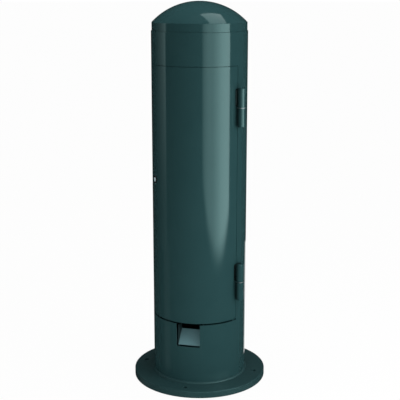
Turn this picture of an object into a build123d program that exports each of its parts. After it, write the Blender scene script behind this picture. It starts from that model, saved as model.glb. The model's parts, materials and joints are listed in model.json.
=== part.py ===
from build123d import *
import math
import os

# Round power pedestal: a steel tube on an anchor plate with a curved hinged door,
# a domed cap, a cord notch with its chute, and the outlets and breakers inside.
# Millimetres. +Z is up, the door faces -Y, the origin is the middle of the plate's underside.
# Angles round the tube are degrees from the front (-Y) towards +X.

# Anchor plate
plate_diameter = 391.0
plate_thickness = 19.0
plate_edge_radius = 2.0
anchor_edge_distance = 27.5
anchor_hole = 14.0
anchor_count = 4
cable_opening = 150.0

# Tube
tube_diameter = 273.0
tube_wall = 4.8
tube_top_z = 1024.0
tube_rim_radius = 1.0

# Dome cap and what holds it
cap_step = 2.0
cap_band_height = 23.0
cap_edge_radius = 0.8
dome_rise = 58.0
dome_sheet = 3.0
slip_gap = 0.3
spigot_sheet = 3.0
spigot_depth = 20.0
spigot_height = 14.0
bridge_width = 40.0
bridge_thickness = 8.0
bridge_drop = 10.0
stud_diameter = 12.0
stud_hole_play = 0.5
nut_across_flats = 18.0
nut_height = 8.0
nut_flange = 26.0
nut_flange_height = 2.0
stud_overrun = 6.0

# Door and the opening it fills
door_bottom_z = 201.3
door_top_z = 931.9
door_half_angle = 65.0
door_sheet = 3.0
door_edge_radius = 0.5
side_gap = 1.2
head_gap = 1.2
sill_gap = 4.5

# Stop strips and seal behind the door's edges
strip_thickness = 2.5
strip_fit_gap = 0.3
strip_lap = 10.0
strip_weld_lap = 12.0
seal_gap = 0.3
seal_margin = 1.0

# Lift-off barrel hinges
barrel_diameter = 23.0
barrel_skin_gap = 0.6
hinge_length = 108.0
hinge_end_distance = 114.0
hinge_washer_thickness = 1.6
hinge_washer_gap = 0.2
hinge_pin_diameter = 12.0
hinge_running_gap = 0.05
hinge_pin_reach = 40.0
hinge_bore_end_gap = 1.0
barrel_edge_radius = 2.5
weld_pad_width = 6.5
weld_pad_offset = 2.0
weld_pad_margin = 3.0

# Cam lock
lock_z = 608.0
lock_edge_distance = 30.0
lock_body_diameter = 19.0
lock_head_diameter = 22.0
lock_head_height = 1.6
lock_hole_play = 0.3
lock_plug_diameter = 12.0
lock_running_gap = 0.05
lock_plug_proud = 0.3
key_slot_width = 1.4
key_slot_length = 8.0
key_slot_depth = 5.0
lock_nut_diameter = 26.0
lock_nut_height = 4.0
cam_reach = 30.0
cam_width = 14.0
cam_thickness = 2.5
cam_gap = 0.3
cam_tang = 7.0
cam_screw_diameter = 4.0
cam_screw_length = 8.0
cam_screw_head = 11.0
cam_screw_head_height = 2.5

# Cord notch and chute
notch_bottom_z = 128.5
notch_width = 70.0
notch_corner_radius = 3.0
chute_sheet = 2.0
chute_side_gap = 1.0
chute_setback = 11.4
chute_front_rise = 2.8
chute_angle = 39.0
chute_run = 40.7
chute_tab_height = 16.0
cheek_height = 58.0
cheek_lean = 8.0

# Rails, equipment panel and terminal cover
rail_sheet = 2.0
rail_lap = 12.0
rail_leg_margin = 5.0
panel_front_y = -40.0
panel_sheet = 2.0
panel_edge_gap = 3.0
panel_head_distance = 26.0
panel_height = 434.0
panel_flange = 12.0
cover_gap = 4.0
cover_height = 164.0
panel_screw_inset = 7.0
panel_screw_end = 24.0
panel_screw_diameter = 5.0
panel_screw_head = 9.6
panel_screw_head_height = 2.6
panel_screw_length = 7.0
panel_hole_play = 0.3

# Breakers on their rail
module_width = 18.0
breaker_gap = 0.4
breaker_height = 85.0
breaker_depth = 44.0
breaker_nose_height = 45.0
breaker_nose_depth = 60.0
breaker_foot = 5.0
breaker_proud = 5.0
breaker_row_drop = 54.0
breaker_window_play = 0.5
toggle_hub_radius = 6.0
toggle_hub_inset = 3.0
toggle_width = 8.0
toggle_length = 14.0
toggle_thickness = 4.6
toggle_play = 0.3
toggle_swing = 34.0
hat_rail_height = 35.0
hat_rail_flange = 4.5
hat_rail_depth = 7.5
hat_rail_sheet = 1.0
hat_rail_play = 0.3

# Large and round receptacles
receptacle_row_drop = 165.0
receptacle_spacing = 96.0
receptacle_play = 0.3
receptacle_proud = 3.0
receptacle_back = 28.0
large_face_diameter = 54.0
large_ear_length = 84.0
round_face_diameter = 44.0
round_ear_length = 74.0
ear_width = 22.0
ear_sheet = 2.0
ear_screw_inset = 7.0
blade_slot_depth = 18.0
large_blade_width = 2.6
large_blade_length = 18.0
large_blade_spacing = 25.0
large_neutral_length = 12.0
round_blade_width = 2.2
round_blade_length = 10.0
round_blade_spacing = 17.0
round_blade_angle = 45.0
ground_pin_hole = 7.0
ground_pin_offset = 14.0
device_screw_diameter = 3.6
device_screw_head = 7.0
device_screw_head_height = 1.8
device_screw_length = 9.0

# Twin outlets with their cover plates and buttons
outlet_row_drop = 304.0
outlet_spacing = 96.0
outlet_face_width = 33.0
outlet_face_height = 67.0
outlet_body_width = 42.0
outlet_body_height = 74.0
outlet_back = 30.0
outlet_proud = 1.5
outlet_play = 0.3
cover_plate_width = 70.0
cover_plate_height = 114.0
cover_plate_thickness = 4.0
cover_plate_bevel = 2.0
cover_plate_screw_distance = 97.0
outlet_socket_distance = 39.0
outlet_blade_spacing = 12.7
outlet_blade_width = 2.0
outlet_blade_length = 7.5
outlet_blade_rise = 3.0
outlet_ground_hole = 4.8
outlet_ground_drop = 6.0
outlet_ear_length = 108.0
button_width = 13.0
button_height = 4.6
button_distance = 7.0
button_depth = 6.0
button_proud = 1.2
button_play = 0.3
button_pocket_depth = 8.5

# Service plate with feeder block and bars
service_plate_y = 75.0
service_plate_sheet = 3.0
service_plate_bottom_z = 300.0
service_plate_height = 210.0
feeder_block_width = 84.0
feeder_block_height = 60.0
feeder_block_depth = 42.0
feeder_step_depth = 16.0
feeder_step_height = 16.0
feeder_pole_count = 3
feeder_fin_width = 3.0
feeder_wire_hole = 9.0
feeder_wire_depth = 12.0
feeder_screw_diameter = 9.0
feeder_screw_height = 3.0
bar_length = 130.0
bar_width = 10.0
bar_depth = 12.0
bar_edge_distance = 26.0
bar_screw_count = 8
bar_screw_pitch = 15.0
bar_wire_hole = 5.0
bar_screw_diameter = 5.0
bar_screw_height = 2.5
standoff_diameter = 14.0
standoff_length = 16.0
standoff_distance = 100.0

# Ground lug on the base plate
ground_lug_angle = 150.0
ground_lug_radius = 104.0
ground_lug_length = 34.0
ground_lug_width = 16.0
ground_lug_pad = 4.0
ground_lug_tower = 15.0
ground_wire_hole = 8.0
ground_bolt_diameter = 8.0
ground_bolt_head = 13.0
ground_bolt_head_height = 5.3
ground_bolt_depth = 12.0

# Sizes that follow
anchor_circle = plate_diameter - 2 * anchor_edge_distance
tube_radius = tube_diameter / 2
tube_inner = tube_radius - tube_wall
opening_bottom_z = door_bottom_z - sill_gap
opening_top_z = door_top_z + head_gap
opening_half_angle = door_half_angle + math.degrees(side_gap / tube_radius)
door_inner = tube_radius - door_sheet
strip_outer = tube_inner - strip_fit_gap
strip_inner = strip_outer - strip_thickness
seal_thickness = door_inner - seal_gap - strip_outer
strip_lap_angle = door_half_angle - math.degrees(strip_lap / tube_radius)
strip_weld_angle = opening_half_angle + math.degrees(strip_weld_lap / tube_radius)
skin_cut = 2 * tube_wall

os.makedirs("parts", exist_ok=True)


def around(radius, angle, z):
    """The point at that radius, angle round the tube and height."""
    turn = math.radians(angle)
    return (radius * math.sin(turn), -radius * math.cos(turn), z)


def level_plane(radius, angle, z):
    """A level plane at that point, x along the tube's skin and y towards its centre."""
    turn = math.radians(angle)
    along_skin = (math.cos(turn), math.sin(turn), 0)
    return Plane(origin=around(radius, angle, z), x_dir=along_skin, z_dir=(0, 0, 1))


def ring_sector(inner_radius, outer_radius, first_angle, last_angle):
    """The face between two arcs about the tube's axis."""
    sweep_angle = last_angle - first_angle
    with BuildLine(Plane.XY) as outline:
        outer = CenterArc((0, 0), outer_radius, first_angle - 90, sweep_angle)
        inner = CenterArc((0, 0), inner_radius, first_angle - 90, sweep_angle)
        Line(outer @ 0, inner @ 0)
        Line(outer @ 1, inner @ 1)
    make_face(outline.edges())


def chord_half(radius, y):
    """Half the width of a circle about the tube's axis at that depth."""
    return math.sqrt(radius**2 - y**2)


# Anchor plate: thick disc with anchor holes, cable opening and a tapped hole for the ground lug
ground_lug_plane = level_plane(ground_lug_radius, ground_lug_angle, plate_thickness)

with BuildPart() as base_plate:
    with BuildSketch():
        Circle(plate_diameter / 2)
        Circle(cable_opening / 2, mode=Mode.SUBTRACT)
        with PolarLocations(anchor_circle / 2, anchor_count, start_angle=-90):
            Circle(anchor_hole / 2, mode=Mode.SUBTRACT)
    extrude(amount=plate_thickness)
    top_edges = base_plate.edges().filter_by(GeomType.CIRCLE).group_by(Axis.Z)[-1]
    fillet(top_edges.sort_by(SortBy.RADIUS)[-1], plate_edge_radius)
    with BuildSketch(ground_lug_plane):
        Circle(ground_bolt_diameter / 2)
    extrude(amount=-ground_bolt_depth, mode=Mode.SUBTRACT)
base_plate.part.label = "base_plate"
export_step(base_plate.part, "parts/base_plate.step")

# Tube: pipe welded on the plate, with the door opening and the cord notch below it
with BuildPart() as pedestal_tube:
    with BuildSketch(Plane.XY.offset(plate_thickness)):
        Circle(tube_radius)
        Circle(tube_inner, mode=Mode.SUBTRACT)
    extrude(amount=tube_top_z - plate_thickness)
    rim_edges = pedestal_tube.edges().filter_by(GeomType.CIRCLE).group_by(Axis.Z)[-1]
    fillet(rim_edges.sort_by(SortBy.RADIUS)[-1], tube_rim_radius)
    with BuildSketch(Plane.XY.offset(opening_bottom_z)):
        ring_sector(tube_inner - skin_cut, tube_radius + skin_cut, -opening_half_angle, opening_half_angle)
    extrude(amount=opening_top_z - opening_bottom_z, mode=Mode.SUBTRACT)
    # the notch runs up into the opening, so only its lower corners are round
    notch_cut_height = opening_bottom_z - notch_bottom_z + 2 * notch_corner_radius
    with BuildSketch(Plane.XZ):
        with Locations((0, notch_bottom_z)):
            RectangleRounded(
                notch_width, notch_cut_height, notch_corner_radius, align=(Align.CENTER, Align.MIN)
            )
    extrude(amount=tube_radius + skin_cut, mode=Mode.SUBTRACT)
pedestal_tube.part.label = "pedestal_tube"
export_step(pedestal_tube.part, "parts/pedestal_tube.step")

# Dome cap: straight band, sharp edge and a spherical crown, pressed from one sheet
band_radius = tube_radius - cap_step
band_top_z = tube_top_z + cap_band_height
crown_radius = (band_radius**2 + dome_rise**2) / (2 * dome_rise)
crown_centre_z = band_top_z + dome_rise - crown_radius
crown_inner = crown_radius - dome_sheet
spigot_radius = tube_inner - slip_gap


def crown_inner_z(radius):
    """Height of the crown's inner face at that distance from the axis."""
    return crown_centre_z + math.sqrt(crown_inner**2 - radius**2)


with BuildPart() as dome_cap:
    with BuildSketch(Plane.XZ):
        with BuildLine():
            outer_start = math.degrees(math.atan2(band_top_z - crown_centre_z, band_radius))
            inner_start = math.degrees(math.acos(spigot_radius / crown_inner))
            outer_arc = CenterArc((0, crown_centre_z), crown_radius, outer_start, 90 - outer_start)
            inner_arc = CenterArc((0, crown_centre_z), crown_inner, inner_start, 90 - inner_start)
            Polyline(
                outer_arc @ 0, (band_radius, tube_top_z), (spigot_radius, tube_top_z), inner_arc @ 0
            )
            Line(outer_arc @ 1, inner_arc @ 1)
        make_face()
    revolve(axis=Axis.Z)
    edge_zone = (band_top_z - cap_edge_radius, band_top_z + cap_edge_radius)
    fillet(dome_cap.edges().filter_by_position(Axis.Z, *edge_zone), cap_edge_radius)
dome_cap.part.label = "dome_cap"
export_step(dome_cap.part, "parts/dome_cap.step")

# Spigot: ring welded inside the cap's band, a slip fit in the tube
with BuildPart() as cap_spigot:
    with BuildSketch(Plane.XY.offset(tube_top_z - spigot_depth)):
        Circle(spigot_radius)
        Circle(spigot_radius - spigot_sheet, mode=Mode.SUBTRACT)
    extrude(amount=spigot_depth + spigot_height)
cap_spigot.part.label = "cap_spigot"
export_step(cap_spigot.part, "parts/cap_spigot.step")

# Bridge: flat bar welded across the tube under the spigot
bridge_top_z = tube_top_z - spigot_depth - bridge_drop
bridge_bottom_z = bridge_top_z - bridge_thickness
with BuildPart() as cap_bridge:
    with BuildSketch(Plane.XY.offset(bridge_bottom_z)):
        Rectangle(2 * tube_inner, bridge_width)
        Circle(tube_inner, mode=Mode.INTERSECT)
        Circle(stud_diameter / 2 + stud_hole_play, mode=Mode.SUBTRACT)
    extrude(amount=bridge_thickness)
cap_bridge.part.label = "cap_bridge"
export_step(cap_bridge.part, "parts/cap_bridge.step")

# Stud: welded under the crown, it hangs down through the bridge
nut_top_z = bridge_bottom_z
nut_bottom_z = nut_top_z - nut_flange_height - nut_height
with BuildPart() as cap_stud:
    with BuildSketch(Plane.XY.offset(nut_bottom_z - stud_overrun)):
        Circle(stud_diameter / 2)
    extrude(amount=crown_inner_z(stud_diameter / 2) - nut_bottom_z + stud_overrun)
cap_stud.part.label = "cap_stud"
export_step(cap_stud.part, "parts/cap_stud.step")

# Flanged nut: pulls the cap down on the tube
with BuildPart() as cap_nut:
    with BuildSketch(Plane.XY.offset(nut_top_z - nut_flange_height)):
        Circle(nut_flange / 2)
    extrude(amount=nut_flange_height)
    with BuildSketch(Plane.XY.offset(nut_bottom_z)):
        RegularPolygon(nut_across_flats / 2, 6, major_radius=False)
    extrude(amount=nut_height)
    with BuildSketch(Plane.XY.offset(nut_bottom_z)):
        Circle(stud_diameter / 2)
    extrude(amount=nut_height + nut_flange_height, mode=Mode.SUBTRACT)
cap_nut.part.label = "cap_nut"
export_step(cap_nut.part, "parts/cap_nut.step")

# Stop strips: welded inside the opening, the door's edges close over them
strip_bottom_z = opening_bottom_z - strip_weld_lap
strip_top_z = opening_top_z + strip_weld_lap
for strip_name, side in (("lock_side_strip", -1), ("hinge_side_strip", 1)):
    with BuildPart() as side_strip:
        with BuildSketch(Plane.XY.offset(strip_bottom_z)):
            ring_sector(strip_inner, strip_outer, side * strip_lap_angle, side * strip_weld_angle)
        extrude(amount=strip_top_z - strip_bottom_z)
    side_strip.part.label = strip_name
    export_step(side_strip.part, f"parts/{strip_name}.step")

head_strip_bottom_z = door_top_z - strip_lap
with BuildPart() as head_strip:
    with BuildSketch(Plane.XY.offset(head_strip_bottom_z)):
        ring_sector(strip_inner, strip_outer, -strip_lap_angle, strip_lap_angle)
    extrude(amount=strip_top_z - head_strip_bottom_z)
head_strip.part.label = "head_strip"
export_step(head_strip.part, "parts/head_strip.step")

# Door seal: one rubber frame glued on the strips, open at the bottom for the cords
seal_margin_angle = math.degrees(seal_margin / tube_radius)
with BuildPart() as door_seal:
    with BuildSketch(Plane.XY.offset(door_bottom_z)):
        seal_half_angle = door_half_angle - seal_margin_angle
        ring_sector(strip_outer, strip_outer + seal_thickness, -seal_half_angle, seal_half_angle)
    extrude(amount=door_top_z - seal_margin - door_bottom_z)
    with BuildSketch(Plane.XY.offset(door_bottom_z)):
        window_half_angle = strip_lap_angle + seal_margin_angle
        ring_sector(tube_inner - skin_cut, tube_radius, -window_half_angle, window_half_angle)
    extrude(amount=head_strip_bottom_z + seal_margin - door_bottom_z, mode=Mode.SUBTRACT)
door_seal.part.label = "door_seal"
export_step(door_seal.part, "parts/door_seal.step")

# Door: rolled sheet flush with the tube, with the hole for the lock
lock_angle = math.degrees(lock_edge_distance / tube_radius) - door_half_angle
lock_centre = around(tube_radius, lock_angle, lock_z)
lock_outward = around(1, lock_angle, 0)
lock_plane = Plane(
    origin=lock_centre,
    x_dir=(-lock_outward[1], lock_outward[0], 0),
    z_dir=lock_outward,
)
lock_hole_radius = lock_body_diameter / 2 + lock_hole_play

with BuildPart() as door_shell:
    with BuildSketch(Plane.XY.offset(door_bottom_z)):
        ring_sector(door_inner, tube_radius, -door_half_angle, door_half_angle)
    extrude(amount=door_top_z - door_bottom_z)
    outer_face = door_shell.faces().filter_by(GeomType.CYLINDER).sort_by(SortBy.AREA)[-1]
    fillet(outer_face.edges(), door_edge_radius)
    with BuildSketch(lock_plane):
        Circle(lock_hole_radius)
    extrude(amount=skin_cut, both=True, mode=Mode.SUBTRACT)
door_shell.part.label = "door_shell"
export_step(door_shell.part, "parts/door_shell.step")

# Hinges: a sleeve on the door drops over a pin that stands in a post on the tube
barrel_radius = barrel_diameter / 2
hinge_axis_radius = tube_radius + barrel_skin_gap + barrel_radius
hinge_angle = opening_half_angle
barrel_half_length = (hinge_length - hinge_washer_thickness - hinge_washer_gap) / 2
hinge_pin_radius = hinge_pin_diameter / 2
upper_hinge_z = door_top_z - hinge_end_distance
lower_hinge_z = door_bottom_z + hinge_end_distance


def hinge_barrel(bottom_z, pad_side, round_end, bore_bottom_z, bore_radius, bore_length):
    """Barrel with its weld pad down to the skin; pad_side is -1 on the door and 1 on the tube."""
    with BuildPart() as barrel:
        with BuildSketch(level_plane(hinge_axis_radius, hinge_angle, bottom_z)):
            Circle(barrel_radius)
        extrude(amount=barrel_half_length)
        fillet(barrel.edges().group_by(Axis.Z)[round_end], barrel_edge_radius)
        with BuildSketch(level_plane(hinge_axis_radius, hinge_angle, bottom_z + weld_pad_margin)):
            with Locations((pad_side * (weld_pad_offset + weld_pad_width / 2), 0)):
                Rectangle(weld_pad_width, barrel_diameter, align=(Align.CENTER, Align.MIN))
        extrude(amount=barrel_half_length - 2 * weld_pad_margin)
        with BuildSketch(Plane.XY.offset(bottom_z)):
            Circle(tube_radius)
        extrude(amount=barrel_half_length, mode=Mode.SUBTRACT)
        with BuildSketch(level_plane(hinge_axis_radius, hinge_angle, bore_bottom_z)):
            Circle(bore_radius)
        extrude(amount=bore_length, mode=Mode.SUBTRACT)
    return barrel


for hinge_name, hinge_z in (("upper_hinge", upper_hinge_z), ("lower_hinge", lower_hinge_z)):
    post_top_z = hinge_z - hinge_washer_thickness / 2
    post_bottom_z = post_top_z - barrel_half_length
    sleeve_bottom_z = post_top_z + hinge_washer_thickness + hinge_washer_gap
    pin_bottom_z = post_top_z - hinge_pin_reach
    pin_length = sleeve_bottom_z + hinge_pin_reach - pin_bottom_z

    post = hinge_barrel(post_bottom_z, 1, 0, pin_bottom_z, hinge_pin_radius, hinge_pin_reach)
    post.part.label = f"{hinge_name}_post"
    export_step(post.part, f"parts/{hinge_name}_post.step")

    sleeve_bore_radius = hinge_pin_radius + hinge_running_gap
    sleeve_bore_depth = hinge_pin_reach + hinge_bore_end_gap
    sleeve = hinge_barrel(sleeve_bottom_z, -1, -1, sleeve_bottom_z, sleeve_bore_radius, sleeve_bore_depth)
    sleeve.part.label = f"{hinge_name}_sleeve"
    export_step(sleeve.part, f"parts/{hinge_name}_sleeve.step")

    with BuildPart() as hinge_pin:
        with BuildSketch(level_plane(hinge_axis_radius, hinge_angle, pin_bottom_z)):
            Circle(hinge_pin_radius)
        extrude(amount=pin_length)
    hinge_pin.part.label = f"{hinge_name}_pin"
    export_step(hinge_pin.part, f"parts/{hinge_name}_pin.step")

    with BuildPart() as hinge_washer:
        with BuildSketch(level_plane(hinge_axis_radius, hinge_angle, post_top_z)):
            Circle(barrel_radius)
            Circle(hinge_pin_radius, mode=Mode.SUBTRACT)
        extrude(amount=hinge_washer_thickness)
    hinge_washer.part.label = f"{hinge_name}_washer"
    export_step(hinge_washer.part, f"parts/{hinge_name}_washer.step")

# Lock: housing through the door, nut behind it, and a plug that turns the cam
lock_head_radius = lock_head_diameter / 2
lock_plug_radius = lock_plug_diameter / 2
cam_face_radius = math.sqrt((strip_inner - cam_gap) ** 2 - cam_reach**2) - cam_gap
cam_face_depth = tube_radius - cam_face_radius
housing_depth = cam_face_depth - cam_gap
nut_seat_depth = tube_radius - chord_half(door_inner, lock_nut_diameter / 2)

with BuildPart() as lock_housing:
    with BuildSketch(lock_plane):
        Circle(lock_head_radius)
    extrude(amount=lock_head_height)
    fillet(lock_housing.faces().sort_by(Axis(lock_centre, lock_outward))[-1].edges(), lock_head_height / 2)
    with BuildSketch(lock_plane):
        Circle(lock_body_diameter / 2)
    extrude(amount=-housing_depth)
    with BuildSketch(lock_plane.offset(lock_head_height)):
        Circle(lock_plug_radius + lock_running_gap)
    extrude(amount=-(lock_head_height + housing_depth), mode=Mode.SUBTRACT)
lock_housing.part.label = "lock_housing"
export_step(lock_housing.part, "parts/lock_housing.step")

with BuildPart() as lock_nut:
    with BuildSketch(lock_plane.offset(-nut_seat_depth)):
        RegularPolygon(lock_nut_diameter / 2, 6)
        Circle(lock_body_diameter / 2, mode=Mode.SUBTRACT)
    extrude(amount=-lock_nut_height)
lock_nut.part.label = "lock_nut"
export_step(lock_nut.part, "parts/lock_nut.step")

with BuildPart() as lock_plug:
    plug_front = lock_head_height + lock_plug_proud
    with BuildSketch(lock_plane.offset(plug_front)):
        Circle(lock_plug_radius)
    extrude(amount=-(plug_front + cam_face_depth))
    with BuildSketch(lock_plane.offset(-cam_face_depth)):
        Rectangle(cam_tang, cam_tang)
    extrude(amount=-cam_thickness)
    with BuildSketch(lock_plane.offset(-cam_face_depth - cam_thickness)):
        Circle(cam_screw_diameter / 2)
    extrude(amount=cam_screw_length, mode=Mode.SUBTRACT)
    with BuildSketch(lock_plane.offset(plug_front)):
        SlotOverall(key_slot_length, key_slot_width, rotation=90)
    extrude(amount=-key_slot_depth, mode=Mode.SUBTRACT)
lock_plug.part.label = "lock_plug"
export_step(lock_plug.part, "parts/lock_plug.step")

# Cam: flat bar that points up when unlocked and sideways behind the strip when locked
with BuildPart() as lock_cam:
    cam_arm = cam_reach - cam_width / 2
    with BuildSketch(lock_plane.offset(-cam_face_depth)):
        with Locations((0, cam_arm / 2)):
            SlotCenterToCenter(cam_arm, cam_width, rotation=90)
        Rectangle(cam_tang, cam_tang, mode=Mode.SUBTRACT)
    extrude(amount=-cam_thickness)
lock_cam.part.label = "lock_cam"
export_step(lock_cam.part, "parts/lock_cam.step")

with BuildPart() as lock_cam_screw:
    with BuildSketch(lock_plane.offset(-cam_face_depth - cam_thickness)):
        Circle(cam_screw_head / 2)
    extrude(amount=-cam_screw_head_height)
    with BuildSketch(lock_plane.offset(-cam_face_depth - cam_thickness)):
        Circle(cam_screw_diameter / 2)
    extrude(amount=cam_screw_length)
lock_cam_screw.part.label = "lock_cam_screw"
export_step(lock_cam_screw.part, "parts/lock_cam_screw.step")

# Cord chute: slanted floor between two cheeks, whose tabs are welded under the notch
chute_half = notch_width / 2 - chute_side_gap
floor_front_y = chute_setback - tube_inner
floor_front_z = notch_bottom_z + chute_front_rise
floor_turn = math.radians(chute_angle)
floor_end_y = floor_front_y + chute_run
floor_end_z = floor_front_z + chute_run * math.tan(floor_turn)
sheet_drop = chute_sheet / math.cos(floor_turn)
tab_top_z = notch_bottom_z - notch_corner_radius
tab_bottom_z = notch_bottom_z - chute_tab_height
cheek_top_z = notch_bottom_z + cheek_height

with BuildPart() as cord_chute:
    with BuildSketch(Plane.YZ):
        with BuildLine():
            Polyline(
                (floor_front_y, floor_front_z),
                (floor_end_y, floor_end_z),
                (floor_end_y, floor_end_z - sheet_drop),
                (floor_front_y, floor_front_z - sheet_drop),
                close=True,
            )
        make_face()
    extrude(amount=chute_half, both=True)
    for cheek_x in (-chute_half, chute_half - chute_sheet):
        with BuildSketch(Plane.YZ.offset(cheek_x)):
            with BuildLine():
                Polyline(
                    (-tube_radius, tab_bottom_z),
                    (-tube_radius, tab_top_z),
                    (floor_front_y, tab_top_z),
                    (floor_front_y, floor_front_z),
                    (floor_front_y + cheek_lean, cheek_top_z),
                    (floor_end_y, cheek_top_z),
                    (floor_end_y, floor_end_z - sheet_drop),
                    (floor_front_y, tab_bottom_z),
                    close=True,
                )
            make_face()
        extrude(amount=chute_sheet)
    with BuildSketch(Plane.XY.offset(tab_bottom_z)):
        Circle(tube_inner)
    extrude(amount=cheek_top_z - tab_bottom_z, mode=Mode.INTERSECT)
cord_chute.part.label = "cord_chute"
export_step(cord_chute.part, "parts/cord_chute.step")

# Where the panels, rows and columns inside lie
panel_back_y = panel_front_y + panel_sheet
panel_half = strip_inner * math.sin(math.radians(strip_lap_angle)) - panel_edge_gap
panel_top_z = door_top_z - panel_head_distance
panel_bottom_z = panel_top_z - panel_height
cover_top_z = panel_bottom_z - cover_gap
cover_bottom_z = cover_top_z - cover_height
rail_inner_x = panel_half - rail_lap
breaker_row_z = panel_top_z - breaker_row_drop
receptacle_row_z = panel_top_z - receptacle_row_drop
outlet_row_z = panel_top_z - outlet_row_drop
nose_front_y = panel_front_y - breaker_proud
hat_rail_y = nose_front_y + breaker_nose_depth
hat_rail_back_y = hat_rail_y + hat_rail_depth
panel_screw_x = panel_half - panel_screw_inset
panel_screw_heights = [
    panel_top_z - panel_screw_end,
    (panel_top_z + panel_bottom_z) / 2,
    panel_bottom_z + panel_screw_end,
]
cover_screw_heights = [cover_top_z - panel_screw_end, cover_bottom_z + panel_screw_end]

# Panel rails: bent strips welded in the tube, their flanges carry the panels
for rail_name, side in (("left_panel_rail", -1), ("right_panel_rail", 1)):
    with BuildPart() as panel_rail:
        with BuildSketch(Plane.XY.offset(cover_bottom_z)):
            with Locations((side * rail_inner_x, panel_back_y)):
                flange_align = Align.MIN if side > 0 else Align.MAX
                Rectangle(tube_inner, rail_sheet, align=(flange_align, Align.MIN))
                leg_depth = hat_rail_back_y + rail_leg_margin - panel_back_y
                Rectangle(rail_sheet, leg_depth, align=(flange_align, Align.MIN))
            Circle(tube_inner, mode=Mode.INTERSECT)
        extrude(amount=panel_top_z - cover_bottom_z)
        with BuildSketch(Plane.XZ.offset(-panel_back_y)):
            for screw_z in panel_screw_heights + cover_screw_heights:
                with Locations((side * panel_screw_x, screw_z)):
                    Circle(panel_screw_diameter / 2)
        extrude(amount=-rail_sheet, mode=Mode.SUBTRACT)
    panel_rail.part.label = rail_name
    export_step(panel_rail.part, f"parts/{rail_name}.step")

# Breaker rail: hat section between the legs of the panel rails
with BuildPart() as breaker_rail:
    flange_width = hat_rail_flange + hat_rail_sheet
    flange_centre = (hat_rail_height - flange_width) / 2
    web_centre = hat_rail_height / 2 - hat_rail_flange - hat_rail_sheet / 2
    with BuildSketch(Plane.YZ):
        with Locations((hat_rail_back_y, breaker_row_z)):
            Rectangle(hat_rail_sheet, 2 * web_centre, align=(Align.MAX, Align.CENTER))
        for half in (-1, 1):
            with Locations((hat_rail_y, breaker_row_z + half * web_centre)):
                Rectangle(hat_rail_depth, hat_rail_sheet, align=(Align.MIN, Align.CENTER))
            with Locations((hat_rail_y, breaker_row_z + half * flange_centre)):
                Rectangle(hat_rail_sheet, flange_width, align=(Align.MIN, Align.CENTER))
    extrude(amount=rail_inner_x, both=True)
breaker_rail.part.label = "breaker_rail"
export_step(breaker_rail.part, "parts/breaker_rail.step")

# Breakers: one for each receptacle and each twin outlet, side by side on the rail
breaker_modules = {
    "large_breaker": 2,
    "round_breaker": 1,
    "left_breaker": 1,
    "right_breaker": 1,
}
row_width = sum(breaker_modules.values()) * module_width
hub_y = nose_front_y + toggle_hub_inset
hook_height = hat_rail_height / 2 - hat_rail_sheet
recess_half = hat_rail_height / 2 + hat_rail_play
hook_front_y = hat_rail_y + hat_rail_sheet + hat_rail_play
foot_y = hat_rail_y + breaker_foot
shoulder_y = hat_rail_y - breaker_depth
pocket_radius = toggle_hub_radius + toggle_play

breaker_left_x = -row_width / 2
for breaker_name, modules in breaker_modules.items():
    block_width = modules * module_width
    centre_x = breaker_left_x + block_width / 2
    toggle_span = (modules - 1) * module_width + toggle_width
    with BuildPart() as breaker:
        half_width = (block_width - breaker_gap) / 2
        with BuildSketch(Plane.YZ.offset(centre_x)):
            with Locations((foot_y, breaker_row_z)):
                Rectangle(foot_y - shoulder_y, breaker_height, align=(Align.MAX, Align.CENTER))
                Rectangle(foot_y - nose_front_y, breaker_nose_height, align=(Align.MAX, Align.CENTER))
            with Locations((hat_rail_y, breaker_row_z)):
                recess_depth = hook_front_y - hat_rail_y
                from_rail = (Align.MIN, Align.CENTER)
                Rectangle(recess_depth, 2 * recess_half, align=from_rail, mode=Mode.SUBTRACT)
                Rectangle(breaker_foot, 2 * hook_height, align=from_rail, mode=Mode.SUBTRACT)
        extrude(amount=half_width, both=True)
        with BuildSketch(Plane.YZ.offset(centre_x)):
            with Locations((hub_y, breaker_row_z)):
                Circle(pocket_radius)
        extrude(amount=toggle_span / 2 + toggle_play, both=True, mode=Mode.SUBTRACT)
    breaker.part.label = breaker_name
    export_step(breaker.part, f"parts/{breaker_name}.step")

    # its toggle points up when on and swings down to off
    with BuildPart() as toggle:
        lever_reach = toggle_length - toggle_thickness / 2
        lever_turn = math.radians(toggle_swing)
        tip_y = hub_y - lever_reach * math.cos(lever_turn)
        tip_z = breaker_row_z + lever_reach * math.sin(lever_turn)
        with BuildSketch(Plane.YZ.offset(centre_x)):
            with Locations((hub_y, breaker_row_z)):
                Circle(toggle_hub_radius)
            with Locations(((hub_y + tip_y) / 2, (breaker_row_z + tip_z) / 2)):
                SlotCenterToCenter(lever_reach, toggle_thickness, rotation=-toggle_swing)
        extrude(amount=toggle_span / 2, both=True)
    toggle_name = breaker_name.replace("breaker", "toggle")
    toggle.part.label = toggle_name
    export_step(toggle.part, f"parts/{toggle_name}.step")
    breaker_left_x += block_width

# Receptacles: round faces through the panel, held from behind by an ear at each end
large_x = -receptacle_spacing / 2
round_x = receptacle_spacing / 2
receptacle_front_y = panel_front_y - receptacle_proud
receptacle_back_y = panel_back_y + receptacle_back
large_screw_distance = large_ear_length - 2 * ear_screw_inset
round_screw_distance = round_ear_length - 2 * ear_screw_inset

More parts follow.
